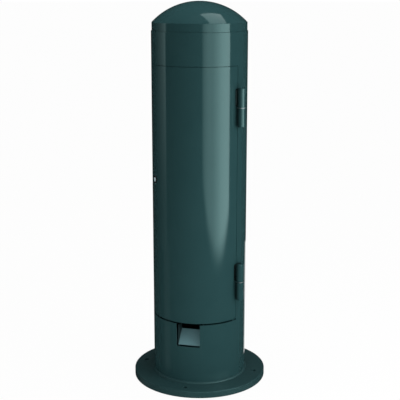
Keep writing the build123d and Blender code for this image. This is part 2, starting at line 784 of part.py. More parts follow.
with BuildPart() as large_receptacle:
    with BuildSketch(Plane.XZ.offset(-receptacle_back_y)):
        with Locations((large_x, receptacle_row_z)):
            Circle(large_face_diameter / 2)
    extrude(amount=receptacle_back_y - receptacle_front_y)
    with BuildSketch(Plane.XZ.offset(-panel_back_y)):
        with Locations((large_x, receptacle_row_z)):
            Rectangle(ear_width, large_ear_length)
            with GridLocations(0, large_screw_distance, 1, 2):
                Circle(device_screw_diameter / 2, mode=Mode.SUBTRACT)
    extrude(amount=-ear_sheet)
    with BuildSketch(Plane.XZ.offset(-receptacle_front_y)):
        with Locations((large_x, receptacle_row_z)):
            with GridLocations(large_blade_spacing, 0, 2, 1):
                Rectangle(large_blade_width, large_blade_length)
            with Locations((0, -ground_pin_offset)):
                Rectangle(large_blade_width, large_neutral_length)
            with Locations((0, ground_pin_offset)):
                Circle(ground_pin_hole / 2)
    extrude(amount=-blade_slot_depth, mode=Mode.SUBTRACT)
large_receptacle.part.label = "large_receptacle"
export_step(large_receptacle.part, "parts/large_receptacle.step")

with BuildPart() as round_receptacle:
    with BuildSketch(Plane.XZ.offset(-receptacle_back_y)):
        with Locations((round_x, receptacle_row_z)):
            Circle(round_face_diameter / 2)
    extrude(amount=receptacle_back_y - receptacle_front_y)
    with BuildSketch(Plane.XZ.offset(-panel_back_y)):
        with Locations((round_x, receptacle_row_z)):
            Rectangle(ear_width, round_ear_length)
            with GridLocations(0, round_screw_distance, 1, 2):
                Circle(device_screw_diameter / 2, mode=Mode.SUBTRACT)
    extrude(amount=-ear_sheet)
    with BuildSketch(Plane.XZ.offset(-receptacle_front_y)):
        with Locations((round_x, receptacle_row_z)):
            for half in (-1, 1):
                with Locations((half * round_blade_spacing / 2, 0)):
                    Rectangle(round_blade_width, round_blade_length, rotation=half * round_blade_angle)
            with Locations((0, -ground_pin_offset)):
                Circle(ground_pin_hole / 2)
    extrude(amount=-blade_slot_depth, mode=Mode.SUBTRACT)
round_receptacle.part.label = "round_receptacle"
export_step(round_receptacle.part, "parts/round_receptacle.step")

# Twin outlets: body behind the panel, face through the panel and its cover plate
plate_front_y = panel_front_y - cover_plate_thickness
outlet_front_y = plate_front_y - outlet_proud
outlet_back_y = panel_back_y + outlet_back
left_outlet_x = -outlet_spacing / 2
right_outlet_x = outlet_spacing / 2

for side_name, outlet_x in (("left", left_outlet_x), ("right", right_outlet_x)):
    with BuildPart() as outlet:
        with BuildSketch(Plane.XZ.offset(-outlet_back_y)):
            with Locations((outlet_x, outlet_row_z)):
                Rectangle(outlet_body_width, outlet_body_height)
        extrude(amount=outlet_back_y - panel_back_y)
        with BuildSketch(Plane.XZ.offset(-panel_back_y)):
            with Locations((outlet_x, outlet_row_z)):
                Rectangle(outlet_face_width, outlet_face_height)
        extrude(amount=panel_back_y - outlet_front_y)
        with BuildSketch(Plane.XZ.offset(-panel_back_y)):
            with Locations((outlet_x, outlet_row_z)):
                Rectangle(ear_width, outlet_ear_length)
                with GridLocations(0, cover_plate_screw_distance, 1, 2):
                    Circle(device_screw_diameter / 2, mode=Mode.SUBTRACT)
        extrude(amount=-ear_sheet)
        with BuildSketch(Plane.XZ.offset(-outlet_front_y)):
            with Locations((outlet_x, outlet_row_z)):
                with GridLocations(0, outlet_socket_distance, 1, 2):
                    with Locations((0, outlet_blade_rise)):
                        with GridLocations(outlet_blade_spacing, 0, 2, 1):
                            Rectangle(outlet_blade_width, outlet_blade_length)
                    with Locations((0, -outlet_ground_drop)):
                        Circle(outlet_ground_hole / 2)
        extrude(amount=-blade_slot_depth, mode=Mode.SUBTRACT)
        with BuildSketch(Plane.XZ.offset(-outlet_front_y)):
            with Locations((outlet_x, outlet_row_z)):
                with GridLocations(0, button_distance, 1, 2):
                    Rectangle(button_width + 2 * button_play, button_height + 2 * button_play)
        extrude(amount=-button_pocket_depth, mode=Mode.SUBTRACT)
    outlet.part.label = f"{side_name}_outlet"
    export_step(outlet.part, f"parts/{side_name}_outlet.step")

    for button_name, half in (("test_button", 1), ("reset_button", -1)):
        with BuildPart() as button:
            with BuildSketch(Plane.XZ.offset(button_proud - outlet_front_y)):
                with Locations((outlet_x, outlet_row_z + half * button_distance / 2)):
                    Rectangle(button_width, button_height)
            extrude(amount=-(button_proud + button_depth))
        button.part.label = f"{side_name}_{button_name}"
        export_step(button.part, f"parts/{side_name}_{button_name}.step")

    # cover plate: its front edges slope, and the face and two screws come through it
    with BuildPart() as cover_plate:
        with BuildSketch(Plane.XZ.offset(-panel_front_y)):
            with Locations((outlet_x, outlet_row_z)):
                Rectangle(cover_plate_width, cover_plate_height)
        extrude(amount=cover_plate_thickness)
        chamfer(cover_plate.faces().sort_by(Axis.Y)[0].edges(), cover_plate_bevel)
        with BuildSketch(Plane.XZ.offset(-panel_front_y)):
            with Locations((outlet_x, outlet_row_z)):
                Rectangle(outlet_face_width + 2 * outlet_play, outlet_face_height + 2 * outlet_play)
                with GridLocations(0, cover_plate_screw_distance, 1, 2):
                    Circle(device_screw_diameter / 2 + panel_hole_play)
        extrude(amount=cover_plate_thickness, mode=Mode.SUBTRACT)
    cover_plate.part.label = f"{side_name}_cover_plate"
    export_step(cover_plate.part, f"parts/{side_name}_cover_plate.step")


def folded_plate(bottom_z, top_z, screw_heights):
    """Flat face with a flange bent back at its top and bottom, and holes for its screws."""
    with BuildPart() as plate:
        with BuildSketch(Plane.XZ.offset(-panel_back_y)):
            with Locations((0, bottom_z)):
                Rectangle(2 * panel_half, top_z - bottom_z, align=(Align.CENTER, Align.MIN))
            for screw_z in screw_heights:
                with Locations((0, screw_z)):
                    with GridLocations(2 * panel_screw_x, 0, 2, 1):
                        Circle(panel_screw_diameter / 2 + panel_hole_play, mode=Mode.SUBTRACT)
        extrude(amount=panel_sheet)
        flange_length = 2 * (rail_inner_x - panel_edge_gap)
        with BuildSketch(Plane.XZ.offset(-panel_back_y)):
            with Locations((0, bottom_z)):
                Rectangle(flange_length, panel_sheet, align=(Align.CENTER, Align.MIN))
            with Locations((0, top_z)):
                Rectangle(flange_length, panel_sheet, align=(Align.CENTER, Align.MAX))
        extrude(amount=-panel_flange)
    return plate.part


# Equipment panel: folded plate with a window for the breakers and one for each device
with BuildPart() as equipment_panel:
    add(folded_plate(panel_bottom_z, panel_top_z, panel_screw_heights))
    with BuildSketch(Plane.XZ.offset(-panel_back_y)):
        with Locations((0, breaker_row_z)):
            Rectangle(row_width + 2 * breaker_window_play, breaker_nose_height + 2 * breaker_window_play)
        with Locations((large_x, receptacle_row_z)):
            Circle(large_face_diameter / 2 + receptacle_play)
            with GridLocations(0, large_screw_distance, 1, 2):
                Circle(device_screw_diameter / 2 + panel_hole_play)
        with Locations((round_x, receptacle_row_z)):
            Circle(round_face_diameter / 2 + receptacle_play)
            with GridLocations(0, round_screw_distance, 1, 2):
                Circle(device_screw_diameter / 2 + panel_hole_play)
        with Locations((left_outlet_x, outlet_row_z), (right_outlet_x, outlet_row_z)):
            Rectangle(outlet_face_width + 2 * outlet_play, outlet_face_height + 2 * outlet_play)
            with GridLocations(0, cover_plate_screw_distance, 1, 2):
                Circle(device_screw_diameter / 2 + panel_hole_play)
    extrude(amount=panel_sheet, mode=Mode.SUBTRACT)
equipment_panel.part.label = "equipment_panel"
export_step(equipment_panel.part, "parts/equipment_panel.step")

# Terminal cover: plain folded plate over the incoming feeder
with BuildPart() as terminal_cover:
    add(folded_plate(cover_bottom_z, cover_top_z, cover_screw_heights))
terminal_cover.part.label = "terminal_cover"
export_step(terminal_cover.part, "parts/terminal_cover.step")

# Panel screws: through the plates into the rails
with BuildPart() as panel_screws:
    screw_sections = {
        panel_screw_head: panel_screw_head_height,
        panel_screw_diameter: -panel_screw_length,
    }
    for diameter, length in screw_sections.items():
        with BuildSketch(Plane.XZ.offset(-panel_front_y)):
            for screw_z in panel_screw_heights + cover_screw_heights:
                with Locations((0, screw_z)):
                    with GridLocations(2 * panel_screw_x, 0, 2, 1):
                        Circle(diameter / 2)
        extrude(amount=length)
panel_screws.part.label = "panel_screws"
export_step(panel_screws.part, "parts/panel_screws.step")

# Device screws: hold the receptacles to the panel and the cover plates over the outlets
device_screw_seats = (
    (panel_front_y, large_x, receptacle_row_z, large_screw_distance),
    (panel_front_y, round_x, receptacle_row_z, round_screw_distance),
    (plate_front_y, left_outlet_x, outlet_row_z, cover_plate_screw_distance),
    (plate_front_y, right_outlet_x, outlet_row_z, cover_plate_screw_distance),
)
with BuildPart() as device_screws:
    for seat_y, seat_x, seat_z, screw_distance in device_screw_seats:
        with BuildSketch(Plane.XZ.offset(-seat_y)):
            with Locations((seat_x, seat_z)):
                with GridLocations(0, screw_distance, 1, 2):
                    Circle(device_screw_head / 2)
        extrude(amount=device_screw_head_height)
        with BuildSketch(Plane.XZ.offset(-seat_y)):
            with Locations((seat_x, seat_z)):
                with GridLocations(0, screw_distance, 1, 2):
                    Circle(device_screw_diameter / 2)
        extrude(amount=-device_screw_length)
device_screws.part.label = "device_screws"
export_step(device_screws.part, "parts/device_screws.step")

# Service plate: welded across the back of the tube, it carries the feeder block and the bars
service_centre_z = service_plate_bottom_z + service_plate_height / 2
with BuildPart() as service_plate:
    with BuildSketch(Plane.XY.offset(service_plate_bottom_z)):
        with Locations((0, service_plate_y)):
            Rectangle(2 * tube_inner, service_plate_sheet, align=(Align.CENTER, Align.MIN))
        Circle(tube_inner, mode=Mode.INTERSECT)
    extrude(amount=service_plate_height)
service_plate.part.label = "service_plate"
export_step(service_plate.part, "parts/service_plate.step")

# Feeder block: stepped moulding with fins between its poles and a wire hole above and below each
pole_pitch = (feeder_block_width - feeder_fin_width) / feeder_pole_count
step_front_y = service_plate_y - feeder_block_depth + feeder_step_depth
feeder_front_y = service_plate_y - feeder_block_depth
middle_height = feeder_block_height - 2 * feeder_step_height
wire_hole_y = (service_plate_y + step_front_y) / 2
with BuildPart() as feeder_block:
    with BuildSketch(Plane.XZ.offset(-service_plate_y)):
        with Locations((0, service_centre_z)):
            Rectangle(feeder_block_width, feeder_block_height)
    extrude(amount=service_plate_y - step_front_y)
    with BuildSketch(Plane.XZ.offset(-step_front_y)):
        with Locations((0, service_centre_z)):
            Rectangle(feeder_block_width, middle_height)
            with GridLocations(pole_pitch, 0, feeder_pole_count + 1, 1):
                Rectangle(feeder_fin_width, feeder_block_height)
    extrude(amount=step_front_y - feeder_front_y)
    for half in (-1, 1):
        end_z = service_centre_z + half * feeder_block_height / 2
        with BuildSketch(Plane.XY.offset(end_z)):
            with Locations((0, wire_hole_y)):
                with GridLocations(pole_pitch, 0, feeder_pole_count, 1):
                    Circle(feeder_wire_hole / 2)
        extrude(amount=-half * feeder_wire_depth, mode=Mode.SUBTRACT)
feeder_block.part.label = "feeder_block"
export_step(feeder_block.part, "parts/feeder_block.step")

with BuildPart() as feeder_screws:
    screw_row_distance = feeder_block_height - feeder_step_height
    with BuildSketch(Plane.XZ.offset(-step_front_y)):
        with Locations((0, service_centre_z)):
            with GridLocations(pole_pitch, screw_row_distance, feeder_pole_count, 2):
                Circle(feeder_screw_diameter / 2)
    extrude(amount=feeder_screw_height)
feeder_screws.part.label = "feeder_screws"
export_step(feeder_screws.part, "parts/feeder_screws.step")

# Bars: drilled for the wires, the ground bar on the plate and the neutral bar on standoffs
bar_x = chord_half(tube_inner, service_plate_y) - bar_edge_distance
neutral_back_y = service_plate_y - standoff_length
bar_backs = {"ground_bar": (bar_x, service_plate_y), "neutral_bar": (-bar_x, neutral_back_y)}
for bar_name, (centre_x, back_y) in bar_backs.items():
    with BuildPart() as bar:
        with BuildSketch(Plane.XZ.offset(-back_y)):
            with Locations((centre_x, service_centre_z)):
                Rectangle(bar_width, bar_length)
        extrude(amount=bar_depth)
        with BuildSketch(Plane.YZ.offset(centre_x)):
            with Locations((back_y - bar_depth / 2, service_centre_z)):
                with GridLocations(0, bar_screw_pitch, 1, bar_screw_count):
                    Circle(bar_wire_hole / 2)
        extrude(amount=bar_width, both=True, mode=Mode.SUBTRACT)
    bar.part.label = bar_name
    export_step(bar.part, f"parts/{bar_name}.step")

with BuildPart() as neutral_standoffs:
    with BuildSketch(Plane.XZ.offset(-service_plate_y)):
        with Locations((-bar_x, service_centre_z)):
            with GridLocations(0, standoff_distance, 1, 2):
                Circle(standoff_diameter / 2)
    extrude(amount=standoff_length)
neutral_standoffs.part.label = "neutral_standoffs"
export_step(neutral_standoffs.part, "parts/neutral_standoffs.step")

with BuildPart() as bar_screws:
    for centre_x, back_y in bar_backs.values():
        with BuildSketch(Plane.XZ.offset(bar_depth - back_y)):
            with Locations((centre_x, service_centre_z)):
                with GridLocations(0, bar_screw_pitch, 1, bar_screw_count):
                    Circle(bar_screw_diameter / 2)
        extrude(amount=bar_screw_height)
bar_screws.part.label = "bar_screws"
export_step(bar_screws.part, "parts/bar_screws.step")

# Ground lug: pad with a drilled tower, bolted down inside the tube
tower_x = ground_lug_length - ground_lug_width
with BuildPart() as ground_lug:
    with BuildSketch(ground_lug_plane):
        with Locations((-ground_lug_width / 2, 0)):
            Rectangle(ground_lug_length, ground_lug_width, align=(Align.MIN, Align.CENTER))
    extrude(amount=ground_lug_pad)
    with BuildSketch(ground_lug_plane):
        with Locations((tower_x, 0)):
            Rectangle(ground_lug_width, ground_lug_width)
    extrude(amount=ground_lug_tower)
    with BuildSketch(ground_lug_plane):
        Circle(ground_bolt_diameter / 2)
    extrude(amount=ground_lug_pad, mode=Mode.SUBTRACT)
    wire_hole_centre = ground_lug_plane.from_local_coords((tower_x, 0, ground_lug_tower / 2))
    with BuildSketch(Plane(origin=wire_hole_centre, z_dir=ground_lug_plane.y_dir)):
        Circle(ground_wire_hole / 2)
    extrude(amount=ground_lug_width, both=True, mode=Mode.SUBTRACT)
ground_lug.part.label = "ground_lug"
export_step(ground_lug.part, "parts/ground_lug.step")

with BuildPart() as ground_bolt:
    with BuildSketch(ground_lug_plane.offset(ground_lug_pad)):
        RegularPolygon(ground_bolt_head / 2, 6, major_radius=False)
    extrude(amount=ground_bolt_head_height)
    with BuildSketch(ground_lug_plane.offset(ground_lug_pad)):
        Circle(ground_bolt_diameter / 2)
    extrude(amount=-(ground_lug_pad + ground_bolt_depth))
ground_bolt.part.label = "ground_bolt"
export_step(ground_bolt.part, "parts/ground_bolt.step")
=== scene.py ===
# %% [markdown]
# A round power pedestal: a steel tube on an anchor plate, with a curved door, a domed cap and
# a notch for cords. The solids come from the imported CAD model, so their shapes are not touched
# here. This lesson adds what the solids can't have: the finish of every surface, the weld beads,
# screw heads and other small pieces, a studio and a camera.

# %% load the frame
import bmesh
import bpy
import json
import math
from mathutils import Matrix, Vector


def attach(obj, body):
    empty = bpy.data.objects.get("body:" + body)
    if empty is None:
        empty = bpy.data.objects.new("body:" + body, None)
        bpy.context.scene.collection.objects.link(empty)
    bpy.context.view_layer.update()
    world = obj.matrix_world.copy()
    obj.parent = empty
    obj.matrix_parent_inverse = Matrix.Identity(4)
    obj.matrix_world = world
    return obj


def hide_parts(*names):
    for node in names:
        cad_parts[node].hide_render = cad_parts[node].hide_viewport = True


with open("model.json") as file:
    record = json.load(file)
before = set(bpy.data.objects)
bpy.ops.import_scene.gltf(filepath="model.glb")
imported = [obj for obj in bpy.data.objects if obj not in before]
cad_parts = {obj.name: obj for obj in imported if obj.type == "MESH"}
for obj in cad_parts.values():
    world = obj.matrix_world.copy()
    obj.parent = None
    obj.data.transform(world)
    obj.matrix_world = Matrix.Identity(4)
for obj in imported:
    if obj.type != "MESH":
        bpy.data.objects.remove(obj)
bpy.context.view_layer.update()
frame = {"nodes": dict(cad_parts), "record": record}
nodes = frame["nodes"]

# %% [markdown]
# Directions round the tube are given in degrees from the front, which is -Y, towards +X, and
# lengths in millimetres, as the drawing has them. One function turns both into a point in
# metres, and most lights and added pieces are placed with it.

# %% points round the tube
MM = 0.001
TUBE_RADIUS = 136.5
TUBE_TOP = 1024.0


def around(radius, angle, z):
    """The point at that radius in mm, angle round the tube in degrees and height in mm."""
    turn = math.radians(angle)
    return Vector((radius * math.sin(turn), -radius * math.cos(turn), z)) * MM


print("front of the tube at the top:", tuple(around(TUBE_RADIUS, 0, TUBE_TOP)))

# %% [markdown]
# A material is a small graph of nodes. Three helpers keep the graphs short: one turns a colour
# as a paint chart or a picture gives it, in sRGB hex, into the linear numbers that the renderer
# works with, one adds a node, sets it and links it, and one adds a step of arithmetic.

# %% colour and node helpers
def linear(hex_colour):
    """An sRGB hex colour as linear red, green, blue and alpha."""
    channels = [int(hex_colour[i:i + 2], 16) / 255 for i in (1, 3, 5)]
    return [c / 12.92 if c <= 0.04045 else ((c + 0.055) / 1.055) ** 2.4 for c in channels] + [1.0]


def add_node(tree, kind, inputs=None, **settings):
    """Adds a node; each input is a value or another node's output socket."""
    node = tree.nodes.new(kind)
    for name, value in settings.items():
        setattr(node, name, value)
    for name, value in (inputs or {}).items():
        if isinstance(value, bpy.types.NodeSocket):
            tree.links.new(value, node.inputs[name])
        else:
            node.inputs[name].default_value = value
    return node


def calculate(tree, operation, *values):
    """The result of one step of arithmetic on numbers and other nodes' output sockets."""
    return add_node(tree, "ShaderNodeMath", dict(enumerate(values)), operation=operation).outputs[0]


print("mid grey is", [round(c, 3) for c in linear("#808080")])

# %% [markdown]
# A surface looks real when it isn't even. Paint has a ripple, and its gloss and shade drift a
# little from place to place. An image could carry that, but noise has no seams and can be given
# its real size in millimetres. So every finish is one shader with two noises: a fine one for the
# bump, and one 25 times as broad for the gloss and the shade.

# %% material helpers
BROAD_TIMES = 25


def new_material(name, surface):
    """A material with one shader, whose plain sockets are set here as constants."""
    material = bpy.data.materials.new(name)
    material.use_nodes = True
    tree = material.node_tree
    tree.nodes.clear()
    shader = add_node(tree, "ShaderNodeBsdfPrincipled", surface)
    output = add_node(tree, "ShaderNodeOutputMaterial")
    tree.links.new(shader.outputs["BSDF"], output.inputs["Surface"])
    return material, tree, shader


def blend(tree, shader, share, first, second):
    """Mixes two colours by a share and gives the result to the shader."""
    mix = add_node(
        tree, "ShaderNodeMix", {"Factor": share, "A": linear(first), "B": linear(second)},
        data_type="RGBA",
    )
    tree.links.new(mix.outputs["Result"], shader.inputs["Base Color"])


def detail(tree, shader, size_mm, height_mm, strength, roughness, shade=None, stretch=(1, 1, 1)):
    """Noise of a real size in mm that drives the bump, the roughness range and the shade range."""
    place = add_node(tree, "ShaderNodeTexCoord")
    mapping = add_node(tree, "ShaderNodeMapping", {"Vector": place.outputs["Object"], "Scale": stretch})
    fine = add_node(
        tree, "ShaderNodeTexNoise",
        {"Vector": mapping.outputs["Vector"], "Scale": 1 / (size_mm * MM), "Detail": 3.0,
         "Roughness": 0.55},
    )
    bump = add_node(
        tree, "ShaderNodeBump",
        {"Height": fine.outputs["Fac"], "Strength": strength, "Distance": height_mm * MM},
    )
    tree.links.new(bump.outputs["Normal"], shader.inputs["Normal"])
    broad = add_node(
        tree, "ShaderNodeTexNoise",
        {"Vector": mapping.outputs["Vector"], "Scale": 1 / (BROAD_TIMES * size_mm * MM), "Detail": 2.0},
    )
    rough = add_node(
        tree, "ShaderNodeMapRange",
        {"Value": broad.outputs["Fac"], "From Min": 0.3, "From Max": 0.7,
         "To Min": roughness[0], "To Max": roughness[1]},
    )
    tree.links.new(rough.outputs["Result"], shader.inputs["Roughness"])
    if shade:
        blend(tree, shader, broad.outputs["Fac"], *shade)


def finish(name, surface, *texture, **more):
    """A material with its detail, in one step."""
    material, tree, shader = new_material(name, surface)
    detail(tree, shader, *texture, **more)
    return material


print("the broad noise is", BROAD_TIMES, "times the fine one")

# %% [markdown]
# Polyester powder coat, sprayed dry and baked: a thick, smooth, glossy film of dark green. The
# gloss is that of a plastic, with an index of refraction of 1.5. The film flows out with a faint
# ripple, known as orange peel, a few millimetres from crest to crest, which makes the edge of a
# reflection waver a little. The film reflects a touch cooler than white, so the highlight keeps
# the green of the paint. The rolled anchor plate is coarser and its coat is thinner, so it is
# only half glossy and shows no clear reflections.

# %% green powder coats
GREEN_FILM = {"IOR": 1.5, "Metallic": 0.0, "Specular Tint": linear("#CCFFFC")}
GREEN_SHADES = ("#223E40", "#264244")
green_coat = finish(
    "glossy green powder coat", GREEN_FILM,
    size_mm=3.0, height_mm=0.02, strength=0.18, roughness=(0.07, 0.11), shade=GREEN_SHADES,
)
plate_coat = finish(
    "half glossy green powder coat", GREEN_FILM,
    size_mm=2.0, height_mm=0.04, strength=0.45, roughness=(0.42, 0.52), shade=GREEN_SHADES,
)
print(green_coat.name, "and", plate_coat.name)

# %% [markdown]
# The floor of the chute behind the notch reads as a paler slanted sheet, with a matt grey primer coat.
# The chute's cheeks are green, painted darker than the tube as painted shade for the shadow they stand
# in. The chute is one solid, so one material has both colours: the distance from the middle of the front
# tells the floor from the cheeks.

# %% coat of the chute, with painted shade on its cheeks
CHUTE_FLOOR_HALF = 31.9
chute_coat, tree, shader = new_material("matt grey green primer coat", {"IOR": 1.5, "Metallic": 0.0})
detail(tree, shader, size_mm=1.2, height_mm=0.03, strength=0.4, roughness=(0.5, 0.6))
place = add_node(tree, "ShaderNodeTexCoord")
axes = add_node(tree, "ShaderNodeSeparateXYZ", {0: place.outputs["Object"]})
side = calculate(tree, "ABSOLUTE", axes.outputs["X"])
cheek = calculate(tree, "GREATER_THAN", side, CHUTE_FLOOR_HALF * MM)
# the floor's pale primer, and the cheeks' green darkened as painted shade
blend(tree, shader, cheek, "#648C92", "#1C3436")
print(chute_coat.name, "up to", CHUTE_FLOOR_HALF, "mm from the middle")

# %% [markdown]
# The hinges have the tube's coat outside. In the narrow corner behind a barrel the coat is painted
# nearly black as painted shade, which gives the barrel its dark edge. The mask is the distance from the
# tube's axis: painted shade at the skin, green at the outer side.

# %% coat of the hinges, with painted shade behind the barrels
# painted shade up to the first radius, fully green from the second, in mm from the axis
HINGE_SHADE_RADIUS = 142.0
HINGE_GREEN_RADIUS = 157.0
hinge_coat_painted_shade, tree, shader = new_material("green powder coat with painted shade in the corner", GREEN_FILM)
detail(tree, shader, size_mm=3.0, height_mm=0.02, strength=0.18, roughness=(0.09, 0.14))
place = add_node(tree, "ShaderNodeTexCoord")
flat = add_node(
    tree, "ShaderNodeVectorMath", {0: place.outputs["Object"], 1: (1.0, 1.0, 0.0)}, operation="MULTIPLY",
)
reach = add_node(tree, "ShaderNodeVectorMath", {0: flat.outputs["Vector"]}, operation="LENGTH")
unshaded_share = add_node(
    tree, "ShaderNodeMapRange",
    {"Value": reach.outputs["Value"], "From Min": HINGE_SHADE_RADIUS * MM,
     "From Max": HINGE_GREEN_RADIUS * MM},
    interpolation_type="SMOOTHSTEP",
)
# the near-black end is painted shade at the skin, the green end is the coat
blend(tree, shader, unshaded_share.outputs[0], "#080E0F", "#244143")
print(hinge_coat_painted_shade.name, "from", HINGE_SHADE_RADIUS, "to", HINGE_GREEN_RADIUS, "mm")

# %% [markdown]
# The metals. Plated and plain steels are bare metal, so they have a metallic value of 1. Zinc
# plate is bright but milky, nickel is polished, and the hinge washers are dull. Turned and drawn
# metal has its grain along one direction, which a stretched noise gives.

# %% metals
# the numbers are the fine noise's size and height in mm, its strength and the roughness range
BARE_METAL = {"Metallic": 1.0}
zinc_steel = finish(
    "bright zinc plated steel", BARE_METAL, 1.2, 0.01, 0.3, (0.28, 0.42), ("#B4B8BA", "#C6C9C8"),
)
stainless = finish(
    "turned stainless steel", BARE_METAL, 0.6, 0.006, 0.25, (0.18, 0.28), ("#C9C9C5", "#D6D5D1"),
    stretch=(1, 1, 6),
)
nickel = finish(
    "polished nickel plate", BARE_METAL, 0.8, 0.004, 0.2, (0.1, 0.14), ("#D2D2CC", "#DEDDD8"),
)
washer_steel = finish(
    "dull zinc plated washer", BARE_METAL, 0.8, 0.02, 0.4, (0.5, 0.6), ("#8C9698", "#98A1A2"),
)
tinned = finish(
    "tin plated bar", BARE_METAL, 1.0, 0.01, 0.3, (0.34, 0.48), ("#BFC1C0", "#CDCFCD"),
    stretch=(1, 1, 0.2),
)
copper = finish(
    "bare copper", BARE_METAL, 1.0, 0.01, 0.3, (0.3, 0.42), ("#B87A58", "#C68A66"),
)
print("metals:", [m.name for m in (zinc_steel, stainless, nickel, washer_steel, tinned, copper)])

# %% [markdown]
# Paints, rubber and mouldings. The panels inside have a textured grey powder coat, and the
# lock's housing, the ring in the cap and its bridge are painted black. Mouldings take the fine
# spark texture of their steel mould, and rubber of closed cells hardly shines. Each finish has
# the index of refraction of its own plastic.

# %% paints, rubber and mouldings
# the numbers are in the same order as for the metals
black_paint = finish(
    "black chassis paint", {"IOR": 1.5}, 1.5, 0.03, 0.3, (0.4, 0.52), ("#15181A", "#1C1F21"),
)
grey_paint = finish(
    "textured grey powder coat", {"IOR": 1.5}, 0.8, 0.05, 0.5, (0.38, 0.5), ("#B9BDBD", "#C2C6C6"),
)
rubber = finish(
    "closed cell rubber", {"IOR": 1.52}, 0.5, 0.06, 0.6, (0.75, 0.88), ("#17191A", "#202223"),
)
black_moulding = finish(
    "black moulded thermoset", {"IOR": 1.5}, 0.5, 0.02, 0.4, (0.42, 0.55), ("#1D1F21", "#242628"),
)
grey_moulding = finish(
    "dark grey moulded nylon", {"IOR": 1.53}, 0.5, 0.02, 0.4, (0.36, 0.46), ("#34383A", "#3B3F41"),
)
white_moulding = finish(
    "white moulded polycarbonate", {"IOR": 1.58}, 0.6, 0.01, 0.25, (0.24, 0.32), ("#DCDAD2", "#E2E0D9"),
)
red_moulding = finish(
    "red moulded nylon", {"IOR": 1.53}, 0.5, 0.02, 0.4, (0.36, 0.46), ("#9C2A20", "#A83024"),
)
print("paints:", [m.name for m in (black_paint, grey_paint, rubber)])
print("mouldings:", [m.name for m in (black_moulding, grey_moulding, white_moulding, red_moulding)])

# %% [markdown]
# Each solid keeps its shape and gets its finish through its own material slots. The record says which
# slot a solid has. The plate, the washers and the hinges then get finishes of their own, since they
# share a slot with solids that look different. The hinges' finish carries painted shade in the corner
# behind each barrel.

# %% dress the solids
finishes = {
    "green_coat": green_coat,
    "black_steel": black_paint,
    "zinc_steel": zinc_steel,
    "stainless": stainless,
    "bright_lock": nickel,
    "chute_coat": chute_coat,
    "seal_rubber": rubber,
    "grey_panel": grey_paint,
    "black_moulding": black_moulding,
    "toggle_moulding": grey_moulding,
    "ivory_moulding": white_moulding,
    "red_button": red_moulding,
    "tinned_bar": tinned,
    "copper_lug": copper,
}
slot_of = {row["node"]: row["material_slot"] for row in frame["record"]["subparts"]}
for name, node in nodes.items():
    for material_slot in node.material_slots:
        material_slot.material = finishes[slot_of[name]]
nodes["base_plate"].material_slots[0].material = plate_coat
for name in ("upper_hinge_washer", "lower_hinge_washer"):
    nodes[name].material_slots[0].material = washer_steel
for name in ("upper_hinge_post", "upper_hinge_sleeve", "lower_hinge_post", "lower_hinge_sleeve"):
    nodes[name].material_slots[0].material = hinge_coat_painted_shade
print("dressed:", len(nodes))

# %% [markdown]
# What the solids leave out are the small shapes that a maker's hand or a mould leaves behind.
# They are built with bmesh below. Each finished piece keeps its origin at the frame's origin, rides on
# the body that it belongs to and takes the material that it is given.

# %% finishing a piece
SHARP_ANGLE = 40


def new_object(name, data):
    """An object in the scene for a mesh, a lamp or a camera."""
    made = bpy.data.objects.new(name, data)
    bpy.context.scene.collection.objects.link(made)
    return made


def finish_piece(name, bm, material, body):
    """Turns a bmesh, in metres and in place, into a piece that rides on a body."""
    bmesh.ops.recalc_face_normals(bm, faces=bm.faces)
    for face in bm.faces:
        face.smooth = True
    mesh = bpy.data.meshes.new(name)
    bm.to_mesh(mesh)
    bm.free()
    mesh.set_sharp_from_angle(angle=math.radians(SHARP_ANGLE))
    mesh.materials.append(material)
    piece = new_object(name, mesh)
    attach(piece, body)
    print(name, "has", len(mesh.polygons), "faces and rides on", body)
    return piece


def join_loops(bm, one, two):
    """The faces between two loops of vertices that run side by side."""
    for k in range(len(one)):
        following = (k + 1) % len(one)
        bm.faces.new((one[k], one[following], two[following], two[k]))


print("edges sharper than", SHARP_ANGLE, "degrees stay sharp")

# %% [markdown]
# Fillet welds. A weld run fills the corner between two plates with a bulging bead, and each
# pulse of the arc freezes as a crescent, so the bead shows a row of ripples about 4 mm apart.
# It could be a swept circle, but a circle has no ripples and no flat legs. So the bead is a row
# of cross-sections along the corner. Each has a leg on either plate and a bulge between them,
# and the size of a section follows the crescent it lies in. The buried corner closes the mesh.

# %% weld beads
WELD_BULGE = 0.18
RIPPLE_PITCH = 4.0
RIPPLE_SHARE = 0.07
CRESCENT_LAG = 0.35
STEPS_PER_RIPPLE = 6
FACE_STEPS = 6
END_SIZE = 0.35
BURIED_DEPTH = 0.3


def weld_bead(bm, corner_at, length, leg, closed=False):
    """A bead of a length in mm; corner_at(mm along) gives the corner and its two leg directions."""
    count = round(length / RIPPLE_PITCH) * STEPS_PER_RIPPLE
    sections = []
    for i in range(count + (0 if closed else 1)):
        along = length * i / count
        corner, first, second = corner_at(along)
        # an open bead starts and ends small
        end = 1.0
        if not closed:
            end = min(end, END_SIZE + along / (2 * leg), END_SIZE + (length - along) / (2 * leg))
        section = [bm.verts.new(corner - (first + second) * BURIED_DEPTH * MM)]
        for step in range(FACE_STEPS + 1):
            share = step / FACE_STEPS
            arch = 4 * share * (1 - share)
            phase = along / RIPPLE_PITCH + CRESCENT_LAG * arch
            size = leg * MM * end * (1 + RIPPLE_SHARE * abs(math.sin(math.pi * phase)))
            face_point = first * (1 - share) + second * share + (first + second) * WELD_BULGE * arch
            section.append(bm.verts.new(corner + face_point * size))
        sections.append(section)
    pairs = list(zip(sections, sections[1:]))
    if closed:
        pairs.append((sections[-1], sections[0]))
    else:
        bm.faces.new(sections[0])
        bm.faces.new(reversed(sections[-1]))
    for one, two in pairs:
        join_loops(bm, one, two)


print("a ripple has", STEPS_PER_RIPPLE, "sections")

